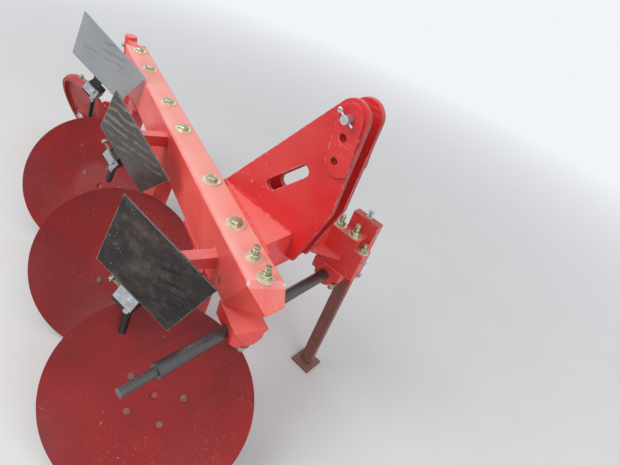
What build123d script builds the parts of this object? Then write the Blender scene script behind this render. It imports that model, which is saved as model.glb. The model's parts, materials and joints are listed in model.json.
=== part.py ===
from build123d import *
from collections import namedtuple
from math import cos, sin, tan, sqrt, radians
import os

# Mounted three-disc plough, millimetres. +X is the direction of travel, +Y is left, +Z is up.
# The origin lies on the ground under the middle of the machine's envelope.

# Where the beam's nose stands, and how the beam lies behind it
nose_x = 1047.3
nose_y = -137.0
beam_angle = 21.4

# Columns of the discs along the beam
disc_count = 3
disc_pitch = 616.0
first_column = 378.0

# Main beam, a rectangular tube that ends a little behind the last column
beam_past_column = 205.0
beam_length = first_column + (disc_count - 1) * disc_pitch + beam_past_column
beam_width = 110.0
beam_depth = 195.0
beam_wall = 8.0
beam_corner = 12.0
beam_top = 795.0
end_plate = 10.0

# Nose: the beam's sheets fold in to a point in front of the cross shaft, below a bevelled top edge
nose_reach = 54.0
nose_fall = 88.0
nose_back = 112.0
nose_skew = 10.0
bevel_reach = 8.0
bevel_drop = 14.0
cheek_reach = 46.0
cheek_fall = 64.0
cheek_foot_reach = 42.0
cheek_foot_fall = 76.0

# Bearing under the nose, and the pointed plate in front of it
block_length = 128.0
block_drop = 84.0
block_chamfer = 25.0
shield_thickness = 12.0
shield_drop = 262.0
shield_lip = 6.0
shield_tip_radius = 14.0

# Cross shaft with the lower-link pins
shaft_radius = 22.0
shaft_back = 57.0
shaft_drop = 243.0
link_pin_radius = 14.0
link_pin_length = 105.0
hitch_width = 825.0
running_gap = 0.05

# Mast: two plates, each with a doubler strip along its front edge
mast_behind_nose = 66.0
mast_left_of_nose = 277.0
mast_plate = 16.0
mast_gap = 54.0
mast_hole_height = 432.0
mast_top_radius = 54.0
top_link_hole_radius = 12.9
mast_hole_drops = (0.0, 57.0, 130.0)
kink_height = 141.0
kink_ahead = 6.0
toe_back = 13.0
toe_drop = 90.0
heel_back = 390.0
doubler_thickness = 8.0
doubler_radius = 42.0
window_length = 190.0
window_width = 40.0
window_back = 139.0
window_height = 160.0
window_tilt = 48.0

# Top-link pin
pin_radius = 12.7
pin_head_radius = 19.0
pin_head_length = 12.0
pin_reach = 30.0

# Cross arm between the beam and the left bearing carrier, with the plate on top of it
arm_back = 50.0
arm_width = 120.0
arm_depth = 120.0
arm_wall = 8.0
gusset_thickness = 12.0

# Left bearing carrier
carrier_left_of_nose = 478.0
carrier_thickness = 60.0
carrier_drop = 38.0
carrier_ahead = 65.0
carrier_depth = 160.0
step_ahead = 42.0
step_drop = 75.0
rib_drop = 148.0
rib_length = 90.0
rib_width = 74.0
rib_thickness = 10.0
boss_radius = 45.0
boss_ears = 130.0
boss_proud = 10.0
shoulder_past_carrier = 7.0

# Parking stand
socket_length = 112.0
socket_width = 38.0
socket_wall = 4.0
socket_height = 212.0
socket_above_beam = 22.0
socket_ahead = 32.0
leg_length = 52.0
slide_gap = 1.0
leg_wall = 5.0
foot_size = 100.0
foot_thickness = 10.0
stop_thickness = 6.0

# Discs: steel plates dished to a sphere around a flat middle, each on an inclined bearing
disc_radius = 330.0
disc_sphere = 676.0
disc_flat_radius = 122.0
disc_thickness = 6.0
disc_yaw = 55.0
disc_tilt = 35.0
disc_ahead_of_column = 350.0
disc_right_of_beam = 255.0
disc_bore_radius = 13.0

# Hub and bearing housing behind each disc
hub_radius = 118.0
hub_thickness = 14.0
seat_gap = 0.3
neck_radius = 50.0
neck_length = 32.0
spindle_radius = 24.0
face_gap = 1.0
housing_radius = 62.0
housing_length = 120.0
cap_radius = 52.0
cap_thickness = 12.0

# Columns that carry the bearings
flange_length = 320.0
flange_thickness = 18.0
column_depth = 120.0
column_width = 70.0
column_foot_depth = 84.0
column_foot_width = 74.0

# Scrapers
blade_length = 350.0
blade_low_length = 290.0
blade_slant = 41.0
blade_height = 236.0
blade_thickness = 5.0
rod_radius = 12.5
rod_behind_blade = 34.0
rod_above_bracket = 40.0
clamp_length = 76.0
clamp_height = 64.0
clamp_wall = 10.0
clamp_round = 8.0
clamp_plate_thickness = 8.0
clamp_plate_length = 72.0
clamp_plate_height = 56.0
clamp_plate_above = 46.0
strap_width = 40.0
strap_lap = 40.0
bracket_width = 44.0
bracket_depth = 44.0
bracket_past_rod = 16.0

# Rear furrow wheel
king_behind_beam = 140.0
king_radius = 22.0
king_low = 330.0
sleeve_wall = 11.0
sleeve_length = 200.0
sleeve_drop = 12.0
collar_radius = 32.0
collar_thickness = 14.0
swivel_plate = 28.0
swivel_height = 76.0
wheel_behind_king = 190.0
wheel_right_of_king = 110.0
wheel_cant = 20.0
wheel_radius = 250.0
wheel_edge = 8.0
wheel_rim_width = 56.0
wheel_rim_depth = 28.0
wheel_web = 10.0
wheel_hub_radius = 52.0
wheel_hub_length = 110.0
axle_radius = 20.0
axle_end = 20.0

# Directions of the beam
rear_dir = Vector(-cos(radians(beam_angle)), sin(radians(beam_angle)), 0)
right_dir = Vector(-sin(radians(beam_angle)), -cos(radians(beam_angle)), 0)
up_dir = Vector(0, 0, 1)
beam_skew = tan(radians(beam_angle))
beam_half_skew = beam_width / 2 / cos(radians(beam_angle))
beam_bottom = beam_top - beam_depth
shaft_x = nose_x - shaft_back
shaft_z = beam_top - shaft_drop
mast_x = nose_x - mast_behind_nose
mast_y = nose_y + mast_left_of_nose


def on_beam(rearward, rightward, height):
    """Point given along the beam from its nose, to its right and above the ground."""
    return Vector(nose_x, nose_y, 0) + rear_dir * rearward + right_dir * rightward + up_dir * height


def save(solid, name):
    """Label one finished piece and write it."""
    solid.label = name
    export_step(solid, "parts/" + name + ".step")


def round_bar(start, end, radius):
    """Solid cylinder between two points."""
    way = end - start
    return extrude(Plane(origin=start, z_dir=way) * Circle(radius), amount=way.length)


os.makedirs("parts", exist_ok=True)
beam_floor = Plane(origin=on_beam(0, 0, 0), x_dir=rear_dir, z_dir=up_dir)
beam_section = Plane(origin=on_beam(0, 0, beam_top - beam_depth / 2), x_dir=right_dir, z_dir=rear_dir)

# Main beam
with BuildPart() as main_beam:
    with BuildSketch(beam_section.offset(nose_back)):
        RectangleRounded(beam_width, beam_depth, beam_corner)
        RectangleRounded(beam_width - 2 * beam_wall, beam_depth - 2 * beam_wall,
                         beam_corner - beam_wall, mode=Mode.SUBTRACT)
    extrude(amount=beam_length - nose_back)
save(main_beam.part, "main_beam")

with BuildPart() as beam_end:
    with BuildSketch(beam_section.offset(beam_length)):
        RectangleRounded(beam_width, beam_depth, beam_corner)
    extrude(amount=end_plate)
save(beam_end.part, "beam_end")

# Nose: a block cut to its facets, each a plane through three corners. The front edge of the top runs a
# little further forward on the left.
half_width = beam_width / 2
top_left = on_beam(-nose_skew, -half_width, beam_top)
top_right = on_beam(nose_skew, half_width, beam_top)
brow_left = on_beam(-nose_skew - bevel_reach, -half_width, beam_top - bevel_drop)
brow_right = on_beam(nose_skew - bevel_reach, half_width, beam_top - bevel_drop)
tip = on_beam(-nose_reach, 0, beam_top - nose_fall)
cheek = on_beam(-cheek_reach, -half_width, beam_top - cheek_fall)
cheek_foot = on_beam(-cheek_foot_reach, -half_width, beam_top - cheek_foot_fall)
fold_left = on_beam(nose_back, -half_width, beam_bottom)
fold_right = on_beam(nose_back, half_width, beam_bottom)
nose_middle = on_beam(nose_back / 2, 0, beam_top - beam_depth / 2)
facets = ((top_left, top_right, brow_left), (brow_left, brow_right, tip), (brow_left, cheek, tip),
          (cheek, cheek_foot, tip), (cheek_foot, fold_left, tip), (brow_right, fold_right, tip),
          (fold_left, fold_right, tip))
with BuildPart() as beam_nose:
    with BuildSketch(beam_section.offset(-nose_reach)):
        RectangleRounded(beam_width, beam_depth, beam_corner)
    extrude(amount=nose_reach + nose_back)
    for first, second, third in facets:
        facet = Plane(origin=first, x_dir=second - first, z_dir=(second - first).cross(third - first))
        inward = (nose_middle - first).dot(facet.z_dir)
        split(bisect_by=facet, keep=Keep.TOP if inward > 0 else Keep.BOTTOM)
save(beam_nose.part, "beam_nose")

# Bearing block under the nose, in two halves drawn as one, bored for the cross shaft
shaft_at = shaft_back / cos(radians(beam_angle))
block_ahead = shaft_at - block_length / 2
shaft_plane = Plane(origin=(shaft_x, 0, shaft_z), x_dir=(1, 0, 0), z_dir=(0, 1, 0))
with BuildPart() as nose_bearing:
    with BuildSketch(beam_section.offset(block_ahead)) as block_section:
        with Locations((0, -beam_depth / 2 - block_drop / 2)):
            Rectangle(beam_width, block_drop)
        chamfer(block_section.vertices().group_by(Axis.Y)[0], block_chamfer)
    extrude(amount=block_length)
    with BuildSketch(shaft_plane):
        Circle(shaft_radius + running_gap)
    extrude(amount=hitch_width, both=True, mode=Mode.SUBTRACT)
save(nose_bearing.part, "nose_bearing")

# Pointed plate in front of the bearing
with BuildPart() as nose_shield:
    with BuildSketch(beam_section.offset(block_ahead)):
        with Locations((0, beam_depth / 2 - shield_drop + shield_tip_radius)):
            Circle(shield_tip_radius)
        with Locations((0, -beam_depth / 2 - shield_lip / 2)):
            Rectangle(beam_width, shield_lip)
        make_hull()
    extrude(amount=-shield_thickness)
save(nose_shield.part, "nose_shield")

# Cross shaft: a bar along Y whose thinner ends take the tractor's lower links
arm_end_y = nose_y + carrier_left_of_nose
shaft_left_y = arm_end_y + carrier_thickness + shoulder_past_carrier
shaft_start = shaft_plane.offset(shaft_left_y - hitch_width)
with BuildPart() as cross_shaft:
    with BuildSketch(shaft_start):
        Circle(shaft_radius)
    extrude(amount=hitch_width)
    with BuildSketch(shaft_start.offset(-link_pin_length)):
        Circle(link_pin_radius)
    extrude(amount=hitch_width + 2 * link_pin_length)
save(cross_shaft.part, "cross_shaft")


def beam_left_edge(x):
    """Y of the beam's left face at the given X."""
    return nose_y + (nose_x - x) * beam_skew + beam_half_skew


# Cross arm: a box that runs from the beam's left face to the left bearing carrier
arm_front = mast_x - arm_back
arm_rear = arm_front - arm_width
arm_top = beam_top - gusset_thickness
with BuildPart() as cross_arm:
    with BuildSketch(Plane.XY.offset(arm_top - arm_depth)):
        with BuildLine():
            Polyline((arm_front, beam_left_edge(arm_front)), (arm_front, arm_end_y), (arm_rear, arm_end_y),
                     (arm_rear, beam_left_edge(arm_rear)), close=True)
        make_face()
    extrude(amount=arm_depth)
    with BuildSketch(Plane(origin=((arm_front + arm_rear) / 2, arm_end_y, arm_top - arm_depth / 2),
                           x_dir=(1, 0, 0), z_dir=(0, -1, 0))):
        Rectangle(arm_width - 2 * arm_wall, arm_depth - 2 * arm_wall)
    extrude(amount=arm_end_y - nose_y, mode=Mode.SUBTRACT)
save(cross_arm.part, "cross_arm")

# Flat plate in the corner between the beam and the mast, on top of the cross arm
mast_near_y = mast_y - mast_gap / 2 - mast_plate
mast_far_y = mast_y + mast_gap / 2 + mast_plate
heel_x = mast_x - heel_back
with BuildPart() as headstock_plate:
    with BuildSketch(Plane.XY.offset(arm_top)):
        with BuildLine():
            Polyline((arm_front, beam_left_edge(arm_front)), (arm_front, mast_far_y), (heel_x, mast_far_y),
                     (heel_x, beam_left_edge(heel_x)), close=True)
        make_face()
    extrude(amount=gusset_thickness)
save(headstock_plate.part, "headstock_plate")

# Mast plates, drawn x forward and y up with the top hole at the sketch's origin
kink = (kink_ahead + mast_top_radius, kink_height - mast_hole_height)
toe = (-toe_back, -mast_hole_height - toe_drop)
toe_corner = (-arm_back, -mast_hole_height - toe_drop)
arm_corner = (-arm_back, -mast_hole_height)
heel = (-heel_back, -mast_hole_height)
heel_distance = sqrt(heel_back ** 2 + mast_hole_height ** 2)
touch_along = mast_top_radius ** 2 / heel_distance
touch_across = mast_top_radius * sqrt(1 - (mast_top_radius / heel_distance) ** 2)
to_heel = Vector(heel[0], heel[1]).normalized()
slope_top = to_heel * touch_along + Vector(to_heel.Y, -to_heel.X) * touch_across
round_middle = (slope_top + Vector(mast_top_radius, 0)).normalized() * mast_top_radius
doubler_low = mast_top_radius - doubler_radius
for side, inner_y, outward in (("right", mast_y - mast_gap / 2, -1), ("left", mast_y + mast_gap / 2, 1)):
    inner_face = Plane(origin=(mast_x, inner_y, beam_top + mast_hole_height),
                       x_dir=(1, 0, 0), z_dir=(0, -1, 0))
    with BuildPart() as mast:
        with BuildSketch(inner_face):
            with BuildLine():
                Line(heel, (slope_top.X, slope_top.Y))
                ThreePointArc((slope_top.X, slope_top.Y), (round_middle.X, round_middle.Y),
                              (mast_top_radius, 0))
                Polyline((mast_top_radius, 0), (mast_top_radius, kink[1]), toe, toe_corner, arm_corner, heel)
            make_face()
            with Locations((-window_back, window_height - mast_hole_height)):
                SlotOverall(window_length, window_width, rotation=window_tilt, mode=Mode.SUBTRACT)
        extrude(amount=-outward * mast_plate)
        with BuildSketch(inner_face.offset(-outward * mast_plate)):
            with Locations((0, 0), (doubler_low, -mast_hole_drops[-1])):
                Circle(doubler_radius)
            make_hull()
        extrude(amount=-outward * doubler_thickness)
        with BuildSketch(inner_face):
            with Locations(*[(0, -drop) for drop in mast_hole_drops]):
                Circle(top_link_hole_radius)
        extrude(amount=-outward * (mast_plate + doubler_thickness), mode=Mode.SUBTRACT)
    save(mast.part, "mast_plate_" + side)

# Top-link pin through the upper hole
pin_start = mast_near_y - doubler_thickness - pin_reach
pin_seat = mast_far_y + doubler_thickness
pin_plane = Plane(origin=(mast_x, pin_start, beam_top + mast_hole_height), x_dir=(1, 0, 0), z_dir=(0, 1, 0))
with BuildPart() as top_link_pin:
    with BuildSketch(pin_plane):
        Circle(pin_radius)
    extrude(amount=pin_seat - pin_start)
    with BuildSketch(pin_plane.offset(pin_seat - pin_start)):
        Circle(pin_head_radius)
    extrude(amount=pin_head_length)
save(top_link_pin.part, "top_link_pin")

# Left bearing carrier: a thick plate on the end of the cross arm, with a step for the front stud
carrier_top = beam_top - carrier_drop
carrier_front = shaft_x + carrier_ahead
step_x = carrier_front + step_ahead
step_z = beam_top - step_drop
carrier_bottom = carrier_top - carrier_depth
with BuildPart() as bearing_carrier:
    with BuildSketch(Plane(origin=(0, arm_end_y, 0), x_dir=(1, 0, 0), z_dir=(0, -1, 0))):
        with BuildLine():
            Polyline((arm_rear, carrier_top), (carrier_front, carrier_top), (carrier_front, step_z),
                     (step_x, step_z), (step_x, carrier_bottom), (arm_rear, carrier_bottom), close=True)
        make_face()
    extrude(amount=-carrier_thickness)
save(bearing_carrier.part, "bearing_carrier")

# Rib in the corner between the cross arm and the carrier
with BuildPart() as corner_rib:
    with BuildSketch(Plane.XY.offset(beam_top - rib_drop)):
        with BuildLine():
            Polyline((arm_front, arm_end_y), (arm_front + rib_length, arm_end_y),
                     (arm_front, arm_end_y - rib_width), close=True)
        make_face()
    extrude(amount=rib_thickness)
save(corner_rib.part, "corner_rib")

# Left bearing: a round boss with ears for the two long studs
boss_face = Plane(origin=(shaft_x, arm_end_y - boss_proud, shaft_z), x_dir=(1, 0, 0), z_dir=(0, -1, 0))
ear_height = carrier_bottom - shaft_z
with BuildPart() as left_bearing:
    with BuildSketch(boss_face):
        Circle(boss_radius)
        with Locations((0, ear_height / 2)):
            Rectangle(boss_ears, ear_height)
        Circle(shaft_radius + running_gap, mode=Mode.SUBTRACT)
    extrude(amount=-carrier_thickness - boss_proud)
save(left_bearing.part, "left_bearing")

# Parking stand: a rectangular socket beside the carrier, and a leg that slides in its front cell
socket_front = nose_x + socket_ahead
socket_y = arm_end_y + carrier_thickness + socket_width / 2
socket_top = beam_top + socket_above_beam
cell_length = leg_length + 2 * slide_gap
cell_width = socket_width - 2 * socket_wall
cell_x = socket_front - socket_wall - cell_length / 2
rear_cell = socket_length - 3 * socket_wall - cell_length
with BuildPart() as stand_socket:
    with BuildSketch(Plane.XY.offset(socket_top - socket_height)):
        with Locations((socket_front - socket_length / 2, socket_y)):
            Rectangle(socket_length, socket_width)
        with Locations((cell_x, socket_y)):
            Rectangle(cell_length, cell_width, mode=Mode.SUBTRACT)
        with Locations((socket_front - socket_length + socket_wall + rear_cell / 2, socket_y)):
            Rectangle(rear_cell, cell_width, mode=Mode.SUBTRACT)
    extrude(amount=socket_height)
save(stand_socket.part, "stand_socket")

leg_width = cell_width - 2 * slide_gap
with BuildPart() as stand_leg:
    with BuildSketch(Plane(origin=(cell_x, socket_y, 0))):
        Rectangle(foot_size, foot_size)
    extrude(amount=foot_thickness)
    with BuildSketch(Plane(origin=(cell_x, socket_y, foot_thickness))):
        Rectangle(leg_length, leg_width)
        Rectangle(leg_length - 2 * leg_wall, leg_width - 2 * leg_wall, mode=Mode.SUBTRACT)
    extrude(amount=socket_top - foot_thickness)
    with BuildSketch(Plane(origin=(socket_front - socket_length / 2, socket_y, socket_top))):
        Rectangle(socket_length, socket_width)
    extrude(amount=stop_thickness)
save(stand_leg.part, "stand_leg")

# Discs with their hubs, bearing housings and columns
tilt = radians(disc_tilt)
yaw = radians(disc_yaw)
disc_axis = Vector(cos(yaw) * cos(tilt), -sin(yaw) * cos(tilt), sin(tilt))
disc_side = Vector(sin(yaw), cos(yaw), 0)
disc_height = disc_radius * cos(tilt)
rim_level = sqrt(disc_sphere ** 2 - disc_radius ** 2)
disc_floor = rim_level - sqrt(disc_sphere ** 2 - disc_flat_radius ** 2)
hub_face = disc_floor - seat_gap
hub_back = hub_face - hub_thickness
neck_back = hub_back - neck_length
housing_front = neck_back - face_gap
housing_back = housing_front - housing_length
column_low = beam_bottom - flange_thickness


def dish_arc(lift):
    """Arc of the dish's meridian from its flat to its rim: radius across, distance along the axis up."""
    radii = (disc_flat_radius, (disc_flat_radius + disc_radius) / 2, disc_radius)
    points = [(r, lift + rim_level - sqrt(disc_sphere ** 2 - r ** 2)) for r in radii]
    return ThreePointArc(*points)


for number in range(1, disc_count + 1):
    column_at = first_column + disc_pitch * (number - 1)
    centre = on_beam(column_at - disc_ahead_of_column, disc_right_of_beam, disc_height)
    meridian = Plane(origin=centre, x_dir=disc_side, z_dir=disc_side.cross(disc_axis))
    spin = Axis(centre, disc_axis)

    with BuildPart() as disc:
        with BuildSketch(meridian):
            with BuildLine():
                back_arc = dish_arc(0)
                face_arc = dish_arc(disc_thickness)
                Line(back_arc @ 1, face_arc @ 1)
                Polyline(back_arc @ 0, (disc_bore_radius, disc_floor),
                         (disc_bore_radius, disc_floor + disc_thickness), face_arc @ 0)
            make_face()
        revolve(axis=spin)
    save(disc.part, "disc_" + str(number))

    with BuildPart() as hub:
        with BuildSketch(meridian):
            with BuildLine():
                Polyline((0, hub_face), (hub_radius, hub_face), (hub_radius, hub_back),
                         (neck_radius, hub_back), (neck_radius, neck_back), (spindle_radius, neck_back),
                         (spindle_radius, housing_back), (0, housing_back), close=True)
            make_face()
        revolve(axis=spin)
    save(hub.part, "disc_hub_" + str(number))

    housing_end = Plane(origin=centre + disc_axis * housing_back, x_dir=disc_side, z_dir=disc_axis)
    housing_middle = centre + disc_axis * (housing_back + housing_length / 2)
    with BuildPart() as column:
        with BuildSketch(beam_floor.offset(column_low)):
            with Locations((column_at, 0)):
                Rectangle(flange_length, beam_width)
        extrude(amount=flange_thickness)
        with BuildSketch(Plane(origin=on_beam(column_at, 0, column_low), x_dir=rear_dir, z_dir=up_dir)):
            Rectangle(column_depth, column_width)
        with BuildSketch(Plane(origin=housing_middle, x_dir=rear_dir, z_dir=up_dir)):
            Rectangle(column_foot_depth, column_foot_width)
        loft()
        with BuildSketch(housing_end):
            Circle(housing_radius)
        extrude(amount=housing_length)
        with BuildSketch(housing_end.offset(-housing_radius)):
            Circle(spindle_radius + running_gap)
        extrude(amount=housing_length + 2 * housing_radius, mode=Mode.SUBTRACT)
        with BuildSketch(housing_end.offset(housing_length)):
            Circle(2 * housing_radius)
        extrude(amount=housing_radius, mode=Mode.SUBTRACT)
        with BuildSketch(housing_end):
            Circle(2 * housing_radius)
        extrude(amount=-housing_radius, mode=Mode.SUBTRACT)
    save(column.part, "disc_column_" + str(number))

    with BuildPart() as cap:
        with BuildSketch(housing_end):
            Circle(cap_radius)
        extrude(amount=-cap_thickness)
    save(cap.part, "bearing_cap_" + str(number))

# Scrapers. Each row gives the blade's middle ahead of, left of and above the beam's top at the column,
# the heading, fall and lean of the blade, the rod's place along it, the clamp's drop below its lower
# edge, the rod's slant, and the rod's reach above the clamp to its bracket and below the clamp.
Scraper = namedtuple("Scraper", "ahead left height heading fall lean grip drop slant above below")
scrapers = (
    Scraper(ahead=100, left=-328, height=-68, heading=15, fall=21, lean=8,
            grip=5, drop=46, slant=19, above=120, below=150),
    Scraper(ahead=109, left=-263, height=-49, heading=14, fall=39, lean=-13,
            grip=-20, drop=90, slant=14, above=150, below=190),
    Scraper(ahead=65, left=-244, height=20, heading=30, fall=32, lean=-13,
            grip=20, drop=110, slant=18, above=140, below=200),
)
for number, row in enumerate(scrapers, 1):
    foot = on_beam(first_column + disc_pitch * (number - 1), 0, beam_top)
    heading = radians(row.heading)
    fall = radians(row.fall)
    lean = radians(row.lean)
    along = Vector(cos(fall) * cos(heading), cos(fall) * sin(heading), -sin(fall))
    outward = Vector(sin(heading), -cos(heading), 0)
    face = outward * cos(lean) + outward.cross(along) * sin(lean)
    blade_plane = Plane(origin=foot + Vector(row.ahead, row.left, row.height), x_dir=along, z_dir=face)
    low_left = -blade_length / 2 + blade_slant
    low_edge = -blade_height / 2

    with BuildPart() as blade:
        with BuildSketch(blade_plane):
            with BuildLine():
                Polyline((-blade_length / 2, -low_edge), (blade_length / 2, -low_edge),
                         (low_left + blade_low_length, low_edge), (low_left, low_edge), close=True)
            make_face()
        extrude(amount=blade_thickness)
    save(blade.part, "scraper_blade_" + str(number))

    rod_plane = blade_plane.offset(-rod_behind_blade)
    slant = radians(row.slant)
    rod_up = rod_plane.y_dir * cos(slant) - rod_plane.x_dir * sin(slant)
    grip = rod_plane.from_local_coords(Vector(row.grip, low_edge - row.drop, 0))
    rod_low = grip - rod_up * row.below
    socket = grip + rod_up * row.above
    rod_top = socket + rod_up * rod_above_bracket
    save(round_bar(rod_low, rod_top, rod_radius), "scraper_rod_" + str(number))
    bore = round_bar(rod_low, rod_top, rod_radius + running_gap)

    # Clamp: a block that the rod passes through, with a strap up to the back of the blade
    clamp_back = -rod_behind_blade - rod_radius - clamp_wall
    clamp_middle = low_edge - row.drop
    with BuildPart() as clamp:
        with BuildSketch(blade_plane.offset(clamp_back)):
            with Locations((row.grip, clamp_middle)):
                RectangleRounded(clamp_length, clamp_height, clamp_round)
        extrude(amount=-clamp_back)
        with BuildSketch(blade_plane.offset(-clamp_wall)):
            with Locations((row.grip, (clamp_middle + low_edge + strap_lap) / 2)):
                Rectangle(strap_width, low_edge + strap_lap - clamp_middle)
        extrude(amount=clamp_wall)
        add(bore, mode=Mode.SUBTRACT)
    save(clamp.part, "scraper_clamp_" + str(number))

    # Plate that closes the clamp in front, below the edge of the blade
    plate_top = min(clamp_middle + clamp_plate_above, low_edge - seat_gap)
    with BuildPart() as clamp_plate:
        with BuildSketch(blade_plane):
            with Locations((row.grip, plate_top)):
                Rectangle(clamp_plate_length, clamp_plate_height, align=(Align.CENTER, Align.MAX))
        extrude(amount=clamp_plate_thickness)
    save(clamp_plate.part, "scraper_plate_" + str(number))

    reach_right = (socket - on_beam(0, 0, 0)).dot(right_dir)
    reach_rear = (socket - on_beam(0, 0, 0)).dot(rear_dir)
    beam_side = on_beam(reach_rear, beam_width / 2, socket.Z)
    with BuildPart() as bracket:
        with BuildSketch(Plane(origin=beam_side, x_dir=rear_dir, z_dir=right_dir)):
            Rectangle(bracket_width, bracket_depth)
        extrude(amount=reach_right - beam_width / 2 + bracket_past_rod)
        add(bore, mode=Mode.SUBTRACT)
    save(bracket.part, "scraper_bracket_" + str(number))

# Rear furrow wheel: sleeve on the beam's end, swivelling king pin with a canted axle, and the wheel
king_at = beam_length + end_plate + king_behind_beam
king = on_beam(king_at, 0, 0)
sleeve_top = beam_top - sleeve_drop
sleeve_low = sleeve_top - sleeve_length
sleeve_radius = king_radius + sleeve_wall
with BuildPart() as furrow_bracket:
    with BuildSketch(beam_floor.offset(sleeve_low)):
        with Locations((beam_length + end_plate + king_behind_beam / 2, 0)):
            Rectangle(king_behind_beam, 2 * sleeve_radius - 2 * sleeve_wall)
        with Locations((king_at, 0)):
            Circle(sleeve_radius)
            Circle(king_radius + running_gap, mode=Mode.SUBTRACT)
    extrude(amount=sleeve_length)
save(furrow_bracket.part, "furrow_bracket")

cant = radians(wheel_cant)
axle_dir = Vector(0, cos(cant), sin(cant))
wheel_height = wheel_radius * cos(cant) + wheel_edge * sin(cant)
wheel_centre = Vector(king.X - wheel_behind_king, king.Y - wheel_right_of_king, wheel_height)
axle_reach = wheel_right_of_king / cos(cant)
axle_root = wheel_centre + axle_dir * axle_reach
axle = round_bar(axle_root, wheel_centre - axle_dir * (wheel_hub_length / 2 + axle_end), axle_radius)
with BuildPart() as furrow_arm:
    with BuildSketch(Plane(origin=(king.X, king.Y, king_low))):
        Circle(king_radius)
    extrude(amount=sleeve_top + face_gap - king_low)
    with BuildSketch(Plane(origin=(king.X, king.Y, sleeve_top + face_gap))):
        Circle(collar_radius)
    extrude(amount=collar_thickness)
    with BuildSketch(Plane(origin=(0, king.Y, 0), x_dir=(1, 0, 0), z_dir=(0, -1, 0))):
        with Locations((king.X, king_low), (axle_root.X, axle_root.Z)):
            Circle(swivel_height / 2)
        make_hull()
    extrude(amount=swivel_plate / 2, both=True)
    add(axle)
save(furrow_arm.part, "furrow_arm")

rim_inner = wheel_radius - wheel_rim_depth
rim_side = wheel_rim_width / 2
web_side = wheel_web / 2
hub_side = wheel_hub_length / 2
bore_radius = axle_radius + running_gap
with BuildPart() as furrow_wheel:
    with BuildSketch(Plane(origin=wheel_centre, x_dir=(1, 0, 0), z_dir=Vector(1, 0, 0).cross(axle_dir))):
        with BuildLine():
            Polyline((bore_radius, -hub_side), (wheel_hub_radius, -hub_side), (wheel_hub_radius, -web_side),
                     (rim_inner, -web_side), (rim_inner, -rim_side), (wheel_radius - wheel_edge, -rim_side),
                     (wheel_radius, -wheel_edge), (wheel_radius, wheel_edge),
                     (wheel_radius - wheel_edge, rim_side), (rim_inner, rim_side), (rim_inner, web_side),
                     (wheel_hub_radius, web_side), (wheel_hub_radius, hub_side), (bore_radius, hub_side),
                     close=True)
        make_face()
    revolve(axis=Axis(wheel_centre, axle_dir))
save(furrow_wheel.part, "furrow_wheel")
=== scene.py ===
"""Looks of a mounted disc plough: paint, steel, fasteners, welds and small hardware, in metres."""

import json
import logging
from dataclasses import astuple, dataclass, field, replace
from enum import StrEnum
from math import cos, radians, sin, sqrt, tau
from typing import ClassVar

import bmesh
import bpy
from mathutils import Matrix, Vector

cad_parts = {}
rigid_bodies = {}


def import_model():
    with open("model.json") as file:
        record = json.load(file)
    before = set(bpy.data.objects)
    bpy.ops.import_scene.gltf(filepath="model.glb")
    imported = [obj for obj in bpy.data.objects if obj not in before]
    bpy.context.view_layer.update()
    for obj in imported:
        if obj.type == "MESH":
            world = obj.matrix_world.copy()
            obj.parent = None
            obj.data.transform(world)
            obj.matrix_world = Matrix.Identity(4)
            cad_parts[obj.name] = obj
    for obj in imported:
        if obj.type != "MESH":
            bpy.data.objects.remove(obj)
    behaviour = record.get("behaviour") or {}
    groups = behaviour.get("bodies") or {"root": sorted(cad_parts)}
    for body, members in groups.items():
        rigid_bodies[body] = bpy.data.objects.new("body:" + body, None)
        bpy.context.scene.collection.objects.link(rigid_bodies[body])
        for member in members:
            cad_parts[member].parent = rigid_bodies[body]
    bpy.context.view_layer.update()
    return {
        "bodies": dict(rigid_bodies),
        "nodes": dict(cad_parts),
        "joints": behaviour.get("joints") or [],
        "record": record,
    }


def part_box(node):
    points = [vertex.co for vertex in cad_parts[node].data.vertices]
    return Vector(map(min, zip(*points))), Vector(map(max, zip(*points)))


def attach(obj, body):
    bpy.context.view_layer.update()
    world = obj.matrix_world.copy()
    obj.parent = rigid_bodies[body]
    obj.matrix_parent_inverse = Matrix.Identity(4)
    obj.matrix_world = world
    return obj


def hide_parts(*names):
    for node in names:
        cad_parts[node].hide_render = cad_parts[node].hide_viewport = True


LOG = logging.getLogger("plough")
BEVEL_SAMPLES = 6
SMOOTH_ANGLE = radians(38)
BEAD_RADIUS = 0.0045
STEEP = 0.9
SIDES = (-1, 1)
UP, DOWN = Vector((0, 0, 1)), Vector((0, 0, -1))
AHEAD, LEFT = Vector((1, 0, 0)), Vector((0, 1, 0))
Triple = tuple[float, float, float]
Colour = Triple
Material = bpy.types.Material
Socket = bpy.types.NodeSocket


class Body(StrEnum):
    """The rigid bodies that pieces ride on, besides those of the discs."""

    FRAME = "frame"
    STAND = "stand"
    FURROW_ARM = "furrow_swivel_arm"
    FURROW_WHEEL = "furrow_wheel_turning"


class Slot(StrEnum):
    """The record's material slots that new pieces take their finish from."""

    RED_PAINT = "red_paint"
    DISC_PAINT = "disc_paint"
    ZINC = "zinc_steel"
    RED_IRON = "red_iron"


class Finish(StrEnum):
    """The finishes, by the names of their materials."""

    RED = "red_paint"
    BEAM = "beam_paint"
    MAST = "mast_paint"
    LEG = "leg_paint"
    IRON = "red_iron"
    DISC = "disc_paint"
    SCRAPER = "scraper_paint"
    BROWN = "scraper_brown"
    BLUE = "blue_steel"
    BAR = "black_bar"
    ROD = "rod_black"
    TAN = "tan_steel"
    ZINC = "zinc_plate"
    YELLOW = "yellow_zinc"
    PALE = "pale_zinc"


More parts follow.
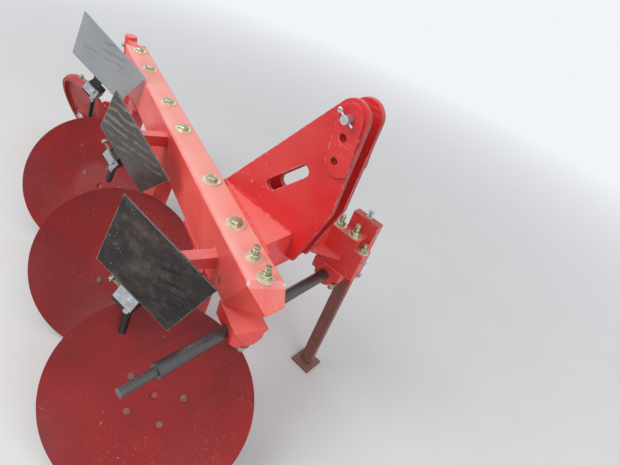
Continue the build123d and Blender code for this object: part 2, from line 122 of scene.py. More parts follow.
class Tree:
    """Adds nodes and links to one node tree, shader or geometry."""

    def __init__(self, tree: bpy.types.NodeTree) -> None:
        """Keep the tree that the nodes go into."""
        self.tree = tree

    def add(self, kind: str, inputs: dict[object, object] | None = None,
            **settings: object) -> bpy.types.Node:
        """Add one node.

        Args:
            kind: the node's type name.
            inputs: a value or an output socket for each input, by name or number.
            settings: properties set on the node before its inputs.

        Returns:
            The new node.
        """
        node = self.tree.nodes.new(kind)
        for name, value in settings.items():
            setattr(node, name, value)
        self.feed(node, inputs or {})
        return node

    def make(self, kind: str, inputs: dict[object, object] | None = None, output: object = 0,
             **settings: object) -> Socket:
        """Add one node and give the output of that name or number."""
        return self.add(kind, inputs, **settings).outputs[output]

    def feed(self, node: bpy.types.Node, inputs: dict[object, object]) -> None:
        """Link sockets into a node's inputs, or set the inputs' own values.

        Args:
            node: the node.
            inputs: an output socket or a plain value for each input, by name or number.
        """
        for name, value in inputs.items():
            place = node.inputs[name]
            if isinstance(value, Socket):
                self.tree.links.new(value, place)
            else:
                place.default_value = (*value, 1.0) if place.type == "RGBA" else value

    def maths(self, operation: str, first: object, *others: object, clamp: bool = False) -> Socket:
        """Math nodes in a row, each working on the result so far and the next value.

        Args:
            operation: the operation's name.
            first: the first value or socket.
            others: the values or sockets that follow.
            clamp: whether the last result is kept between 0 and 1.

        Returns:
            The last result's socket.
        """
        result, steps = first, others or (0.0,)
        for number, value in enumerate(steps, 1):
            last = clamp and number == len(steps)
            result = self.make("ShaderNodeMath", {0: result, 1: value}, operation=operation,
                               use_clamp=last)
        return result

    def times(self, *factors: object, clamp: bool = False) -> Socket:
        """The factors' product, kept between 0 and 1 if asked."""
        return self.maths("MULTIPLY", *factors, clamp=clamp)

    def plus(self, *terms: object) -> Socket:
        """The terms' sum."""
        return self.maths("ADD", *terms)

    def dot(self, first: object, second: object) -> Socket:
        """Two vectors' dot product."""
        return self.make("ShaderNodeVectorMath", {0: first, 1: second}, "Value", operation="DOT_PRODUCT")

    def height(self, vector: object) -> Socket:
        """A vector's Z."""
        return self.make("ShaderNodeSeparateXYZ", {0: vector}, "Z")

    def remap(self, value: object, low: float, high: float, to_low: float = 0.0,
              to_high: float = 1.0) -> Socket:
        """Stretch a value from the range low to high to the range to_low to to_high, clamped."""
        sizes = {"Value": value, "From Min": low, "From Max": high, "To Min": to_low, "To Max": to_high}
        return self.make("ShaderNodeMapRange", sizes)

    def blend(self, share: object, first: object, second: object) -> Socket:
        """Mix two colours by the second one's share, from 0 to 1."""
        return self.make("ShaderNodeMix", {0: share, 6: first, 7: second}, 2, data_type="RGBA")

    def noise(self, where: object, scale: object, detail: float = 4.0, rough: float = 0.55,
              stretch: Triple | None = None, turn: Triple = (0.0, 0.0, 0.0)) -> Socket:
        """A noise value, stretched and turned if asked.

        Args:
            where: the coordinates to read.
            scale: how fine the noise is.
            detail: how many octaves it has.
            rough: how strong the finer octaves are.
            stretch: scale along each axis before the noise.
            turn: rotation of the pattern in radians.

        Returns:
            The noise value's socket.
        """
        if stretch:
            where = self.make("ShaderNodeMapping", {"Vector": where, "Rotation": turn, "Scale": stretch})
        sizes = {"Vector": where, "Scale": scale, "Detail": detail, "Roughness": rough}
        return self.make("ShaderNodeTexNoise", sizes, "Fac")


class Group(Tree):
    """A node group with named inputs and one output."""

    def __init__(self, name: str, kind: str, inputs: dict[str, object], output: tuple[str, str]) -> None:
        """Start the group.

        Args:
            name: the group's name.
            kind: Shader or Geometry.
            inputs: each input's default, or its socket type where it isn't a number.
            output: the output's name and socket type.
        """
        super().__init__(bpy.data.node_groups.new(name, kind + "NodeTree"))
        self.keys: dict[str, str] = {}
        for label, value in inputs.items():
            sort = value if isinstance(value, str) else "Float"
            socket = self._socket(label, "INPUT", sort)
            if sort == "Float":
                socket.default_value = value
            self.keys[label] = socket.identifier
        self._socket(output[0], "OUTPUT", output[1])
        self.given = self.add("NodeGroupInput").outputs
        self.result = self.add("NodeGroupOutput")

    def _socket(self, name: str, side: str, kind: str) -> bpy.types.NodeTreeInterfaceSocket:
        """Add an input or output to the group."""
        return self.tree.interface.new_socket(name=name, in_out=side, socket_type="NodeSocket" + kind)

    def close(self, value: Socket) -> bpy.types.NodeTree:
        """Feed the group's output and give its tree."""
        self.feed(self.result, {0: value})
        return self.tree


class Effects:
    """Shared shader node groups, each built once."""

    def __init__(self) -> None:
        """Build every group."""
        self.edge_wear = self._edge_wear()
        self.scratches = self._scratches()
        self.dust = self._dust()
        self.flecks = self._flecks()
        self.sheet_bump = self._sheet_bump()

    @staticmethod
    def _mask(name: str, **sizes: float) -> tuple[Group, object, Socket]:
        """Start a mask's group with each input's default; gives it, its inputs and the coordinates."""
        tree = Group(name, "Shader", {"Where": "Vector", **sizes}, ("Mask", "Float"))
        return tree, tree.given, tree.given["Where"]

    def _edge_wear(self) -> bpy.types.NodeTree:
        """Worn edges: where a rounded normal leaves the flat one, broken up by noise.

        Returns:
            The group.
        """
        tree, given, where = self._mask("edge_wear", Width=0.003, Amount=0.5, Grain=60.0)
        rounded = tree.make("ShaderNodeBevel", {"Radius": given["Width"]}, samples=BEVEL_SAMPLES)
        kept = tree.dot(rounded, tree.make("ShaderNodeNewGeometry", output="Normal"))
        bend = tree.remap(tree.maths("SUBTRACT", 1.0, kept), 0.01, 0.16)
        grain, patch = tree.noise(where, given["Grain"], 6.0, 0.7), tree.noise(where, 7.0, 2.0)
        level = tree.plus(tree.times(grain, 0.6), tree.times(patch, 0.4))
        gate = tree.maths("SUBTRACT", tree.plus(level, given["Amount"]), 0.92)
        return tree.close(tree.times(bend, tree.times(gate, 12.0, clamp=True)))

    def _scratches(self) -> bpy.types.NodeTree:
        """Fine straight scratches in three directions, gathered in patches.

        Returns:
            The group.
        """
        tree, given, where = self._mask("scratches", Amount=0.5)
        patches = tree.remap(tree.noise(where, 6.0, 3.0), 0.45, 0.7)
        ways = (((0.3, 0.2, 0.5), 9.0), ((0.9, 1.3, -0.6), 13.0), ((-0.5, 0.4, 1.5), 7.0))
        streaks = [tree.noise(where, 1.0, 2.0, 0.4, (length, 420.0, 420.0), turn) for turn, length in ways]
        lines = tree.maths("MAXIMUM", *(tree.remap(streak, 0.70, 0.76) for streak in streaks))
        return tree.close(tree.times(lines, patches, given["Amount"], clamp=True))

    def _flecks(self) -> bpy.types.NodeTree:
        """Small chips in the face of the paint, in sparse patches.

        Returns:
            The group.
        """
        tree, given, where = self._mask("flecks", Amount=0.5)
        spots = tree.remap(tree.noise(where, 95.0, 3.0, 0.6), 0.665, 0.70)
        broad = tree.remap(tree.noise(where, 5.5, 3.0), 0.52, 0.62)
        return tree.close(tree.times(spots, broad, given["Amount"], clamp=True))

    def _dust(self) -> bpy.types.NodeTree:
        """Dust on upward faces, thicker in patches, over an even pale film on what lies flat that is partly
        dust and partly a painted sheen of the sky.

        Returns:
            The group.
        """
        tree, given, where = self._mask("dust", Amount=0.5, Film=0.2)
        rise = tree.height(tree.make("ShaderNodeTexCoord", output="Normal"))
        upward = tree.remap(rise, -0.2, 0.95, 0.18, 1.0)
        broad = tree.remap(tree.noise(where, 5.0, 5.0, 0.6), 0.35, 0.72)
        fine = tree.remap(tree.noise(where, 90.0, 4.0, 0.7), 0.38, 0.68, 0.5, 1.0)
        patchy = tree.times(upward, broad, fine, given["Amount"])
        # the even part: a pale layer on upward faces, partly dust and partly a painted sheen of the sky
        even = tree.times(tree.remap(rise, 0.80, 0.98), tree.remap(broad, 0.0, 1.0, 0.7), given["Film"])
        return tree.close(tree.maths("MAXIMUM", patchy, even, clamp=True))

    def _sheet_bump(self) -> bpy.types.NodeTree:
        """Normal of painted plate: rounded edges, slight waves and sprayed grain.

        Returns:
            The group.
        """
        sizes = {"Where": "Vector", "Edge": 0.003, "Waves": 0.3, "Grain": 0.2}
        tree = Group("sheet_bump", "Shader", sizes, ("Normal", "Vector"))
        given = tree.given
        normal = tree.make("ShaderNodeBevel", {"Radius": given["Edge"]}, samples=BEVEL_SAMPLES)
        for strength, scale, depth in (("Waves", 14.0, 0.004), ("Grain", 380.0, 0.0006)):
            normal = tree.make("ShaderNodeBump", {
                "Height": tree.noise(given["Where"], scale, 2.0), "Distance": depth,
                "Strength": given[strength], "Normal": normal})
        return tree.close(normal)


class Surface(Tree):
    """A new material's tree, with its shader, its object coordinates and its faces' normal."""

    def __init__(self, name: str) -> None:
        """Start the material.

        Args:
            name: the material's name.
        """
        self.material = bpy.data.materials.new(name)
        self.material.use_nodes = True
        self.material.node_tree.nodes.clear()
        super().__init__(self.material.node_tree)
        self.shader = self.add("ShaderNodeBsdfPrincipled")
        self.add("ShaderNodeOutputMaterial", {"Surface": self.shader.outputs[0]})
        given = self.add("ShaderNodeTexCoord").outputs
        self.where, self.normal = given["Object"], given["Normal"]

    def effect(self, group: bpy.types.NodeTree, **inputs: object) -> Socket:
        """Place a shared group at these coordinates, with a value or socket for each other input."""
        return self.make("ShaderNodeGroup", {"Where": self.where, **inputs}, node_tree=group)


@dataclass(frozen=True)
class Paint:
    """Sprayed paint on steel: mottled colour, dust, scratches and chipped edges."""

    name: str
    base: Colour
    deep: Colour
    # colour of dust, and of the painted sky sheen on upward faces
    dusty: Colour
    chip: Colour
    rough: float = 0.34
    dust: float = 0.5
    # strength of an even pale layer on upward faces, partly dust and partly a painted sheen of the sky
    film: float = 0.15
    scratch: float = 0.6
    fleck: float = 0.8
    wear: float = 0.37
    wear_width: float = 0.003
    edge: float = 0.003
    waves: float = 0.25
    grain: float = 0.25
    coat: float = 0.25
    coat_rough: float = 0.12
    shine: float = 0.5
    # painted shade: strength, dark colour and facing way of darker streaks on faces that look one way
    grime: float = 0.0
    grime_colour: Colour = (0.16, 0.045, 0.03)
    grime_way: Triple = (1.0, 0.0, 0.0)
    splash: Colour | None = None
    splash_span: tuple[float, float] = (0.50, 0.63)
    # painted highlight: the top's height and the pale pink of a painted sky sheen along rounded top edges and
    # in a band beside them
    crown: float = 0.0
    crown_colour: Colour = (0.90, 0.34, 0.35)
    band_way: Triple = (0.0, -1.0, 0.0)
    band_span: tuple[float, float] = (0.0, 0.0)
    scuffs: tuple[tuple[Triple, float], ...] = ()

    # how much the dust and painted sheen layer, mottle and scratches roughen the paint
    ROUGHER = (0.35, 0.08, 0.2)

    def build(self, effects: Effects) -> Material:
        """Make the material.

        Args:
            effects: the shared node groups.

        Returns:
            The finished material.
        """
        tree = Surface(self.name)
        mottle = tree.remap(tree.noise(tree.where, 4.5, 6.0, 0.62), 0.32, 0.70)
        colour = self.coat_colour(tree, mottle)
        layers = []
        # painted shade on faces that look one way
        if self.grime > 0.0:
            layers.append((self.grime_mask(tree), self.grime_colour))
        if self.splash:
            wet = tree.remap(tree.noise(tree.where, 22.0), 0.3, 0.7, -0.05, 0.05)
            level = tree.plus(tree.height(tree.where), wet)
            layers.append((tree.remap(level, *self.splash_span), self.splash))
        # painted highlight: sheen of the sky along the rounded top edges
        if self.crown > 0.0:
            layers.append((self.crown_mask(tree), self.crown_colour))
        # dust, with a pale layer on upward faces that is partly a painted sheen of the sky
        dust_and_sheen = tree.effect(effects.dust, Amount=self.dust, Film=self.film)
        marks = tree.effect(effects.scratches, Amount=self.scratch)
        layers += [(dust_and_sheen, self.dusty), (tree.effect(effects.flecks, Amount=self.fleck), self.chip),
                   (marks, self.chip),
                   (tree.effect(effects.edge_wear, Amount=self.wear, Width=self.wear_width), self.chip)]
        layers += [(self.scuff_mask(tree, middle, reach), self.chip) for middle, reach in self.scuffs]
        for mask, paint in layers:
            colour = tree.blend(mask, colour, paint)
        shares = zip((dust_and_sheen, mottle, marks), self.ROUGHER)
        rough = tree.plus(self.rough, *(tree.times(mask, share) for mask, share in shares))
        bump = tree.effect(effects.sheet_bump, Edge=self.edge, Waves=self.waves, Grain=self.grain)
        tree.feed(tree.shader, {"Base Color": colour, "Roughness": rough, "Normal": bump,
                                "Specular IOR Level": self.shine, "Coat Weight": self.coat,
                                "Coat Roughness": self.coat_rough})
        return tree.material

    def coat_colour(self, tree: Surface, mottle: Socket) -> Socket:
        """The paint's own colour before dust and wear, mottled by a value from 0 to 1."""
        return tree.blend(mottle, self.base, self.deep)

    def grime_mask(self, tree: Surface) -> Socket:
        """Painted shade: darker on faces that look one way, broken into streaks.

        Args:
            tree: the material's tree.

        Returns:
            The mask's socket.
        """
        side = tree.remap(tree.dot(tree.normal, self.grime_way), 0.75, 0.95)
        streaks = tree.remap(tree.noise(tree.where, 1.0, 5.0, 0.65, (26.0, 26.0, 7.0)), 0.33, 0.60, 0.35, 1.0)
        return tree.times(side, streaks, self.grime, clamp=True)

    def crown_mask(self, tree: Surface) -> Socket:
        """Painted sheen of the sky: pale along rounded edges at the very top, and in a band beside them.

        Args:
            tree: the material's tree.

        Returns:
            The mask's socket.
        """
        rise = tree.height(tree.normal)
        rising = tree.remap(rise, 0.25, 0.50)
        rounded = tree.times(rising, tree.remap(rise, 0.90, 0.985, 0.6, 0.0))
        high = tree.remap(tree.height(tree.where), self.crown - 0.003, self.crown)
        patch = tree.remap(tree.noise(tree.where, 9.0), 0.30, 0.62, 0.45, 1.0)
        beside = tree.remap(tree.dot(tree.where, self.band_way), *self.band_span, 0.0, 0.55)
        pale = tree.maths("MAXIMUM", rounded, tree.times(beside, rising))
        return tree.times(pale, high, patch, clamp=True)

    @staticmethod
    def scuff_mask(tree: Surface, middle: Triple, reach: float) -> Socket:
        """One ragged spot of bare primer.

        Args:
            tree: the material's tree.
            middle: the spot's centre.
            reach: the spot's radius.

        Returns:
            The mask's socket.
        """
        far = tree.make("ShaderNodeVectorMath", {0: tree.where, 1: middle}, "Value", operation="DISTANCE")
        ragged = tree.remap(tree.noise(tree.where, 160.0), 0.3, 0.7, 0.6, 1.5)
        return tree.remap(tree.times(far, ragged), reach * 0.8, reach, 1.0, 0.0)


@dataclass(frozen=True)
class TwoSidedPaint(Paint):
    """Paint whose colour differs behind a dish: red in front, dark behind."""

    behind: Colour = (0.012, 0.014, 0.030)
    facing: Triple = (1.0, 0.0, 0.0)
    streaked: float = 0.75

    def coat_colour(self, tree: Surface, mottle: Socket) -> Socket:
        """The front's colour where the surface faces the dish's axis, and the dark one behind it.

        Args:
            tree: the material's tree.
            mottle: the broad colour variation, from 0 to 1.

        Returns:
            The colour's socket.
        """
        front = tree.remap(tree.dot(tree.normal, self.facing), 0.02, 0.10)
        streaks = tree.remap(tree.noise(tree.where, 2.2, 5.0, 0.7), 0.35, 0.7)
        plain = tree.blend(mottle, self.base, self.deep)
        return tree.blend(front, self.behind,
                          tree.blend(self.streaked, tree.blend(streaks, plain, self.dusty), plain))


@dataclass(frozen=True)
class BrushedPaint(Paint):
    """Thin dark paint put on by brush: glossy, with lighter smears along one way and arcs across them that
    are partly brush marks and partly painted highlights.
    """

    film: float = 0.0
    edge: float = 0.001
    waves: float = 0.2
    grain: float = 0.1
    coat: float = 0.0
    # The lighter smears and arcs are partly brush marks and partly painted highlights of the glossy paint.
    smear: Colour = (0.09, 0.075, 0.068)
    stroke: Colour = (0.022, 0.016, 0.015)
    along: Triple = (0.4, -0.3, 0.2)

    def coat_colour(self, tree: Surface, mottle: Socket) -> Socket:
        """The paint with its smears and arcs, partly brush marks and partly painted highlights.

        Args:
            tree: the material's tree.
            mottle: the broad colour variation, from 0 to 1.

        Returns:
            The colour's socket.
        """
        strokes = tree.noise(tree.where, 1.0, 6.0, 0.65, (9.0, 60.0, 24.0), self.along)
        shown = tree.times(tree.remap(strokes, 0.48, 0.66), mottle)
        rings = {"Vector": tree.where, "Scale": 9.0, "Distortion": 6.0, "Detail": 3.0, "Detail Scale": 0.9,
                 "Detail Roughness": 0.6}
        arcs = tree.make("ShaderNodeTexWave", rings, "Fac", wave_type="RINGS")
        patch = tree.remap(tree.noise(tree.where, 7.0, 3.0), 0.49, 0.60)
        swept = tree.times(tree.remap(arcs, 0.62, 0.92, 0.0, 0.8), patch)
        ground = tree.blend(shown, tree.blend(mottle, self.base, self.deep), self.smear)
        return tree.blend(swept, ground, self.stroke)


@dataclass(frozen=True)
class Metal:
    """Bare or plated steel with stains and rounded edges."""

    name: str
    base: Colour
    stain: Colour
    rough: float = 0.35
    metallic: float = 0.9
    scratch: float = 0.3
    stain_scale: float = 60.0
    brightening: float = 1.5

    def build(self, effects: Effects) -> Material:
        """Make the material.

        Args:
            effects: the shared node groups.

        Returns:
            The finished material.
        """
        tree = Surface(self.name)
        stains = tree.remap(tree.noise(tree.where, self.stain_scale, 5.0, 0.65), 0.38, 0.68)
        marks = tree.effect(effects.scratches, Amount=self.scratch)
        bright = tuple(min(1.0, channel * self.brightening) for channel in self.base)
        tree.feed(tree.shader, {
            "Base Color": tree.blend(marks, tree.blend(stains, self.base, self.stain), bright),
            "Roughness": tree.plus(self.rough, tree.times(stains, 0.25)),
            "Normal": tree.effect(effects.sheet_bump, Edge=0.001, Waves=0.05, Grain=0.25),
            "Metallic": self.metallic})
        return tree.material


def make_finishes(disc_axis: Vector) -> dict[str, Material]:
    """Build every finish.

    Args:
        disc_axis: the way that the dishes face.

    Returns:
        The materials by name.
    """
    dusty, chip, pale_chip = (0.72, 0.24, 0.20), (0.74, 0.60, 0.55), (0.30, 0.27, 0.24)
    scraper = BrushedPaint(Finish.SCRAPER, (0.008, 0.008, 0.008), (0.042, 0.029, 0.027), (0.13, 0.10, 0.09),
                           (0.46, 0.41, 0.38), rough=0.22, dust=0.12, scratch=0.5, fleck=0.9, wear=0.55,
                           shine=0.22, smear=(0.105, 0.084, 0.078), stroke=(0.010, 0.005, 0.005))
    bar = Paint(Finish.BAR, (0.018, 0.018, 0.019), (0.030, 0.028, 0.027), (0.16, 0.15, 0.14), pale_chip,
                rough=0.36, dust=0.25, film=0.0, scratch=0.35, wear=0.33, wear_width=0.002, edge=0.001,
                waves=0.1, grain=0.1, coat=0.4, shine=0.8)
    every = (
        # The pale layer on upward faces, set for each paint below, is partly dust and partly a painted sheen
        # of the sky.
        Paint(Finish.RED, (0.82, 0.046, 0.040), (0.70, 0.034, 0.030), (0.86, 0.36, 0.33), chip, film=0.48),
        # The beam's top gets a painted sheen of the sky along its rounded edge and in a band beside it.
        Paint(Finish.BEAM, (0.86, 0.072, 0.058), (0.76, 0.054, 0.044), (0.86, 0.50, 0.40), chip, film=0.64,
              dust=0.7, wear=0.40, crown=0.777, band_way=(-0.3649, -0.9311, 0.0), band_span=(-0.252, -0.215),
              scuffs=(((1.0216, -0.1860, 0.788), 0.0075), ((1.0804, -0.0909, 0.788), 0.0065))),
        # The mast's pale chip colour on its wide worn edges is partly wear and partly painted highlight along
        # the plates' edges.
        Paint(Finish.MAST, (0.70, 0.024, 0.027), (0.58, 0.017, 0.020), dusty, (0.90, 0.60, 0.56), film=0.25,
              # Painted shade: darker brown streaks on the mast plates' faces that look ahead.
              wear=0.45, wear_width=0.0035, scratch=0.45, grime=0.75, coat=0.15, shine=0.38),
        Paint(Finish.LEG, (0.27, 0.080, 0.060), (0.13, 0.055, 0.045), (0.34, 0.22, 0.18), chip, rough=0.5,
              dust=0.8, coat=0.0, scratch=0.9, wear=0.36, splash=(0.64, 0.036, 0.028)),
        Paint(Finish.IRON, (0.40, 0.022, 0.018), (0.26, 0.014, 0.012), dusty, chip, rough=0.5, waves=0.5,
              grain=0.8, coat=0.0, wear=0.35, film=0.0),
        # The discs' deep red is partly their own paint and partly painted shade.
        TwoSidedPaint(Finish.DISC, (0.30, 0.010, 0.012), (0.17, 0.006, 0.007), (0.25, 0.040, 0.038), chip,
                      rough=0.32, dust=0.22, film=0.0, scratch=0.5, fleck=0.3, wear=0.33, wear_width=0.002,
                      edge=0.001, waves=0.10, grain=0.15, coat=0.0, shine=0.3, facing=tuple(disc_axis)),
        BrushedPaint(Finish.BLUE, (0.29, 0.315, 0.325), (0.37, 0.395, 0.405), (0.44, 0.45, 0.45),
                     (0.45, 0.45, 0.45), rough=0.42, dust=0.25, scratch=0.35, wear=0.35, wear_width=0.002,
                     fleck=0.4, smear=(0.38, 0.40, 0.43), stroke=(0.19, 0.22, 0.25)),
        scraper,
        replace(scraper, name=Finish.BROWN, base=(0.045, 0.034, 0.031), deep=(0.085, 0.069, 0.063),
                dusty=(0.20, 0.17, 0.15), chip=(0.52, 0.47, 0.43), rough=0.26, dust=0.2, shine=0.3,
                smear=(0.040, 0.029, 0.027), stroke=(0.21, 0.18, 0.165)),
        bar,
        replace(bar, name=Finish.ROD, base=(0.006, 0.006, 0.006), deep=(0.011, 0.010, 0.010),
                dusty=(0.06, 0.055, 0.05), rough=0.30, dust=0.15, scratch=0.3, coat=0.1, shine=0.35),
        Metal(Finish.TAN, (0.36, 0.29, 0.21), (0.20, 0.14, 0.09), rough=0.45, metallic=0.7),
        Metal(Finish.ZINC, (0.54, 0.57, 0.60), (0.34, 0.36, 0.37), rough=0.32),
        Metal(Finish.YELLOW, (0.60, 0.60, 0.44), (0.30, 0.32, 0.22), rough=0.25, metallic=1.0),
        Metal(Finish.PALE, (0.90, 0.84, 0.66), (0.62, 0.56, 0.40), rough=0.38))
    effects = Effects()
    return {finish.name: finish.build(effects) for finish in every}


def new_object(name: str, data: bpy.types.ID) -> bpy.types.Object:
    """Put a new object into the scene.

    Args:
        name: the object's name.
        data: its mesh, lamp or camera.

    Returns:
        The object.
    """
    thing = bpy.data.objects.new(name, data)
    bpy.context.scene.collection.objects.link(thing)
    return thing


def smooth_object(name: str, mesh: bpy.types.Mesh) -> bpy.types.Object:
    """Shade a mesh smooth between its sharp edges and make it an object.

    Args:
        name: the object's name.
        mesh: the mesh.

    Returns:
        The object.
    """
    mesh.polygons.foreach_set("use_smooth", [True] * len(mesh.polygons))
    mesh.set_sharp_from_angle(angle=SMOOTH_ANGLE)
    return new_object(name, mesh)


def from_shape(name: str, shape: bmesh.types.BMesh, material: Material) -> bpy.types.Object:
    """Make an object of an edit mesh.

    Args:
        name: the object's name.
        shape: the edit mesh, freed here.
        material: the finish.

    Returns:
        The object.
    """
    mesh = bpy.data.meshes.new(name)
    shape.to_mesh(mesh)
    shape.free()
    mesh.materials.append(material)
    return smooth_object(name, mesh)


def settle(piece: bpy.types.Object, body: str, slot: Slot) -> None:
    """Let a finished piece ride on its body and log it.

    Args:
        piece: the finished piece.
        body: the body's name.
        slot: the material slot that it takes its finish from; not used.
    """
    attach(piece, str(body))
    LOG.info("%s: %d faces on %s", piece.name, len(piece.data.polygons), body)


def around(way: Vector, angle: float) -> Vector:
    """The direction at an angle round an axis, from its level side."""
    side = way.cross(UP if abs(way.z) < STEEP else AHEAD).normalized()
    return side * cos(angle) + side.cross(way) * sin(angle)


def circle(middle: Vector, way: Vector, radius: float, steps: int = 24) -> list[Vector]:
    """Points of a closed circle round an axis, the first one again at the end."""
    return [middle + around(way, tau * step / steps) * radius for step in range(steps + 1)]


@dataclass
class Spot:
    """One place on the plough where something is fastened."""

    at: Vector
    way: Vector


@dataclass(frozen=True)
class Hex:
    """Sizes of a hex bolt, nut or screw: radii and heights of its washer, hexagon and stud end."""

    washer: float = 0.022
    washer_height: float = 0.004
    hexagon: float = 0.017
    height: float = 0.013
    stud: float = 0.010
    stud_length: float = 0.0
    pitch: float = 0.0025


NIPPLE = Hex(0.0055, 0.001, 0.0055, 0.005, 0.0032, 0.007, 0.0035)


class NodeTool(Group):
    """A geometry node tree that is run on a small host mesh and turned into plain meshes."""

    def __init__(self, name: str, sizes: dict[str, float], *finishes: str) -> None:
        """Start the tree with the default of each named size and the names of its finishes."""
        inputs = {"Geometry": "Geometry", **sizes, **dict.fromkeys(finishes, "Material")}
        super().__init__(name, "Geometry", inputs, ("Geometry", "Geometry"))

    def run(self, name: str, points: list[Vector], edges: list[tuple[int, int]], inputs: dict[str, object],
            ways: list[Vector] | None = None) -> bpy.types.Object:
        """Run the tree on a host mesh.

        Args:
            name: the new piece's name.
            points: the host's points.
            edges: the host's edges.
            inputs: a value for each named input that isn't left at its default.
            ways: a direction for each point.

        Returns:
            A plain mesh object at the origin.
        """
        host = bpy.data.meshes.new(name + "_host")
        host.from_pydata([tuple(point) for point in points], edges, [])
        if ways:
            held = host.attributes.new("way", "FLOAT_VECTOR", "POINT")
            held.data.foreach_set("vector", [value for way in ways for value in way.normalized()])
        maker = new_object(host.name, host)
        modifier = maker.modifiers.new("make", "NODES")
        modifier.node_group = self.tree
        for label, value in inputs.items():
            modifier[self.keys[label]] = value
        bpy.context.view_layer.update()
        graph = bpy.context.evaluated_depsgraph_get()
        mesh = bpy.data.meshes.new_from_object(maker.evaluated_get(graph))
        mesh.name = name
        maker.modifiers.remove(modifier)
        bpy.data.objects.remove(maker)
        return smooth_object(name, mesh)

    def clad(self, mesh: object, finish: str) -> Socket:
        """Give a mesh one of the named finishes."""
        return self.make("GeometryNodeSetMaterial", {"Geometry": mesh, "Material": self.given[finish]})

    def join(self, *meshes: object) -> Socket:
        """Join meshes.

        Args:
            meshes: the mesh sockets.

        Returns:
            The joined mesh socket.
        """
        node = self.add("GeometryNodeJoinGeometry")
        for mesh in meshes:
            self.feed(node, {0: mesh})
        return node.outputs[0]

    def raised(self, mesh: object, height: object) -> Socket:
        """Move a mesh up by a height."""
        offset = self.make("ShaderNodeCombineXYZ", {"Z": height})
        return self.make("GeometryNodeTransform", {"Geometry": mesh, "Translation": offset})


class FastenerTool(NodeTool):
    """Hex bolts, nuts and studs with washers, one at each host point, along the point's way."""

    LABELS = ("Washer Radius", "Washer Thickness", "Hex Radius", "Hex Height", "Stud Radius", "Stud Length",
              "Thread Pitch")
    # shares of the hexagon's height and radius, of the stud's radius and of the thread's pitch
    PRISM, CROWN, TAPER, CORE, RIDGE = 0.82, 0.18, 0.84, 0.9, 0.42
    SHORTEST_STUD = 0.0005

    def __init__(self) -> None:
        """Build the tree."""
        super().__init__("hex_fastener", dict(zip(self.LABELS, astuple(Hex()))), "Finish", "Washer Finish")
        bolt = self.join(*self._hex(), *self._stud())
        whole = self.join(self.clad(self._washer(), "Washer Finish"), self.clad(bolt, "Finish"))
        way = self.make("GeometryNodeInputNamedAttribute", {"Name": "way"}, data_type="FLOAT_VECTOR")
        along = self.make("FunctionNodeAlignRotationToVector", {"Vector": way}, axis="Z")
        spin = self.make("FunctionNodeRandomValue", {2: 0.0, 3: tau, "Seed": 7}, 1, data_type="FLOAT")
        turn = self.make("FunctionNodeAxisAngleToRotation", {"Axis": (0, 0, 1), "Angle": spin})
        facing = self.make("FunctionNodeRotateRotation", {0: along, 1: turn}, rotation_space="LOCAL")
        placed = self.make("GeometryNodeInstanceOnPoints", {
            "Points": self.given["Geometry"], "Instance": whole, "Rotation": facing})
        self.close(self.make("GeometryNodeRealizeInstances", {0: placed}))

    def _cylinder(self, sides: int, radius: object, depth: object) -> Socket:
        """A cylinder's mesh."""
        return self.make("GeometryNodeMeshCylinder", {"Vertices": sides, "Radius": radius, "Depth": depth})

    def _washer(self) -> Socket:
        """A flat washer on the seat."""
        height = self.given["Washer Thickness"]
        return self.raised(self._cylinder(36, self.given["Washer Radius"], height), self.times(height, 0.5))

    def _hex(self) -> list[Socket]:
        """A hexagon with a bevelled top.

        Returns:
            Its prism and its bevelled part.
        """
        base, radius = self.given["Washer Thickness"], self.given["Hex Radius"]
        body, crown = (self.times(self.given["Hex Height"], share) for share in (self.PRISM, self.CROWN))
        top = self.make("GeometryNodeMeshCone", {"Vertices": 6, "Radius Bottom": radius, "Depth": crown,
                                                 "Radius Top": self.times(radius, self.TAPER)})
        return [self.raised(self._cylinder(6, radius, body), self.plus(base, self.times(body, 0.5))),
                self.raised(top, self.plus(base, body))]

    def _stud(self) -> list[Socket]:
        """A stud end above the hexagon, with its thread as a swept helix.

        Returns:
            Its core and its thread.
        """
        radius, pitch = self.given["Stud Radius"], self.given["Thread Pitch"]
        base = self.plus(self.given["Washer Thickness"], self.given["Hex Height"])
        length = self.maths("MAXIMUM", self.given["Stud Length"], self.SHORTEST_STUD)
        core = self._cylinder(24, self.times(radius, self.CORE), length)
        helix = self.make("GeometryNodeCurveSpiral", {
            "Resolution": 16, "Rotations": self.maths("DIVIDE", length, pitch), "Height": length,
            "Start Radius": radius, "End Radius": radius})
        ridge = self.make("GeometryNodeCurvePrimitiveCircle", {"Resolution": 4,
                                                               "Radius": self.times(pitch, self.RIDGE)})
        thread = self.make("GeometryNodeCurveToMesh", {"Curve": helix, "Profile Curve": ridge,
                                                       "Fill Caps": True})
        return [self.raised(core, self.plus(base, self.times(length, 0.5))), self.raised(thread, base)]


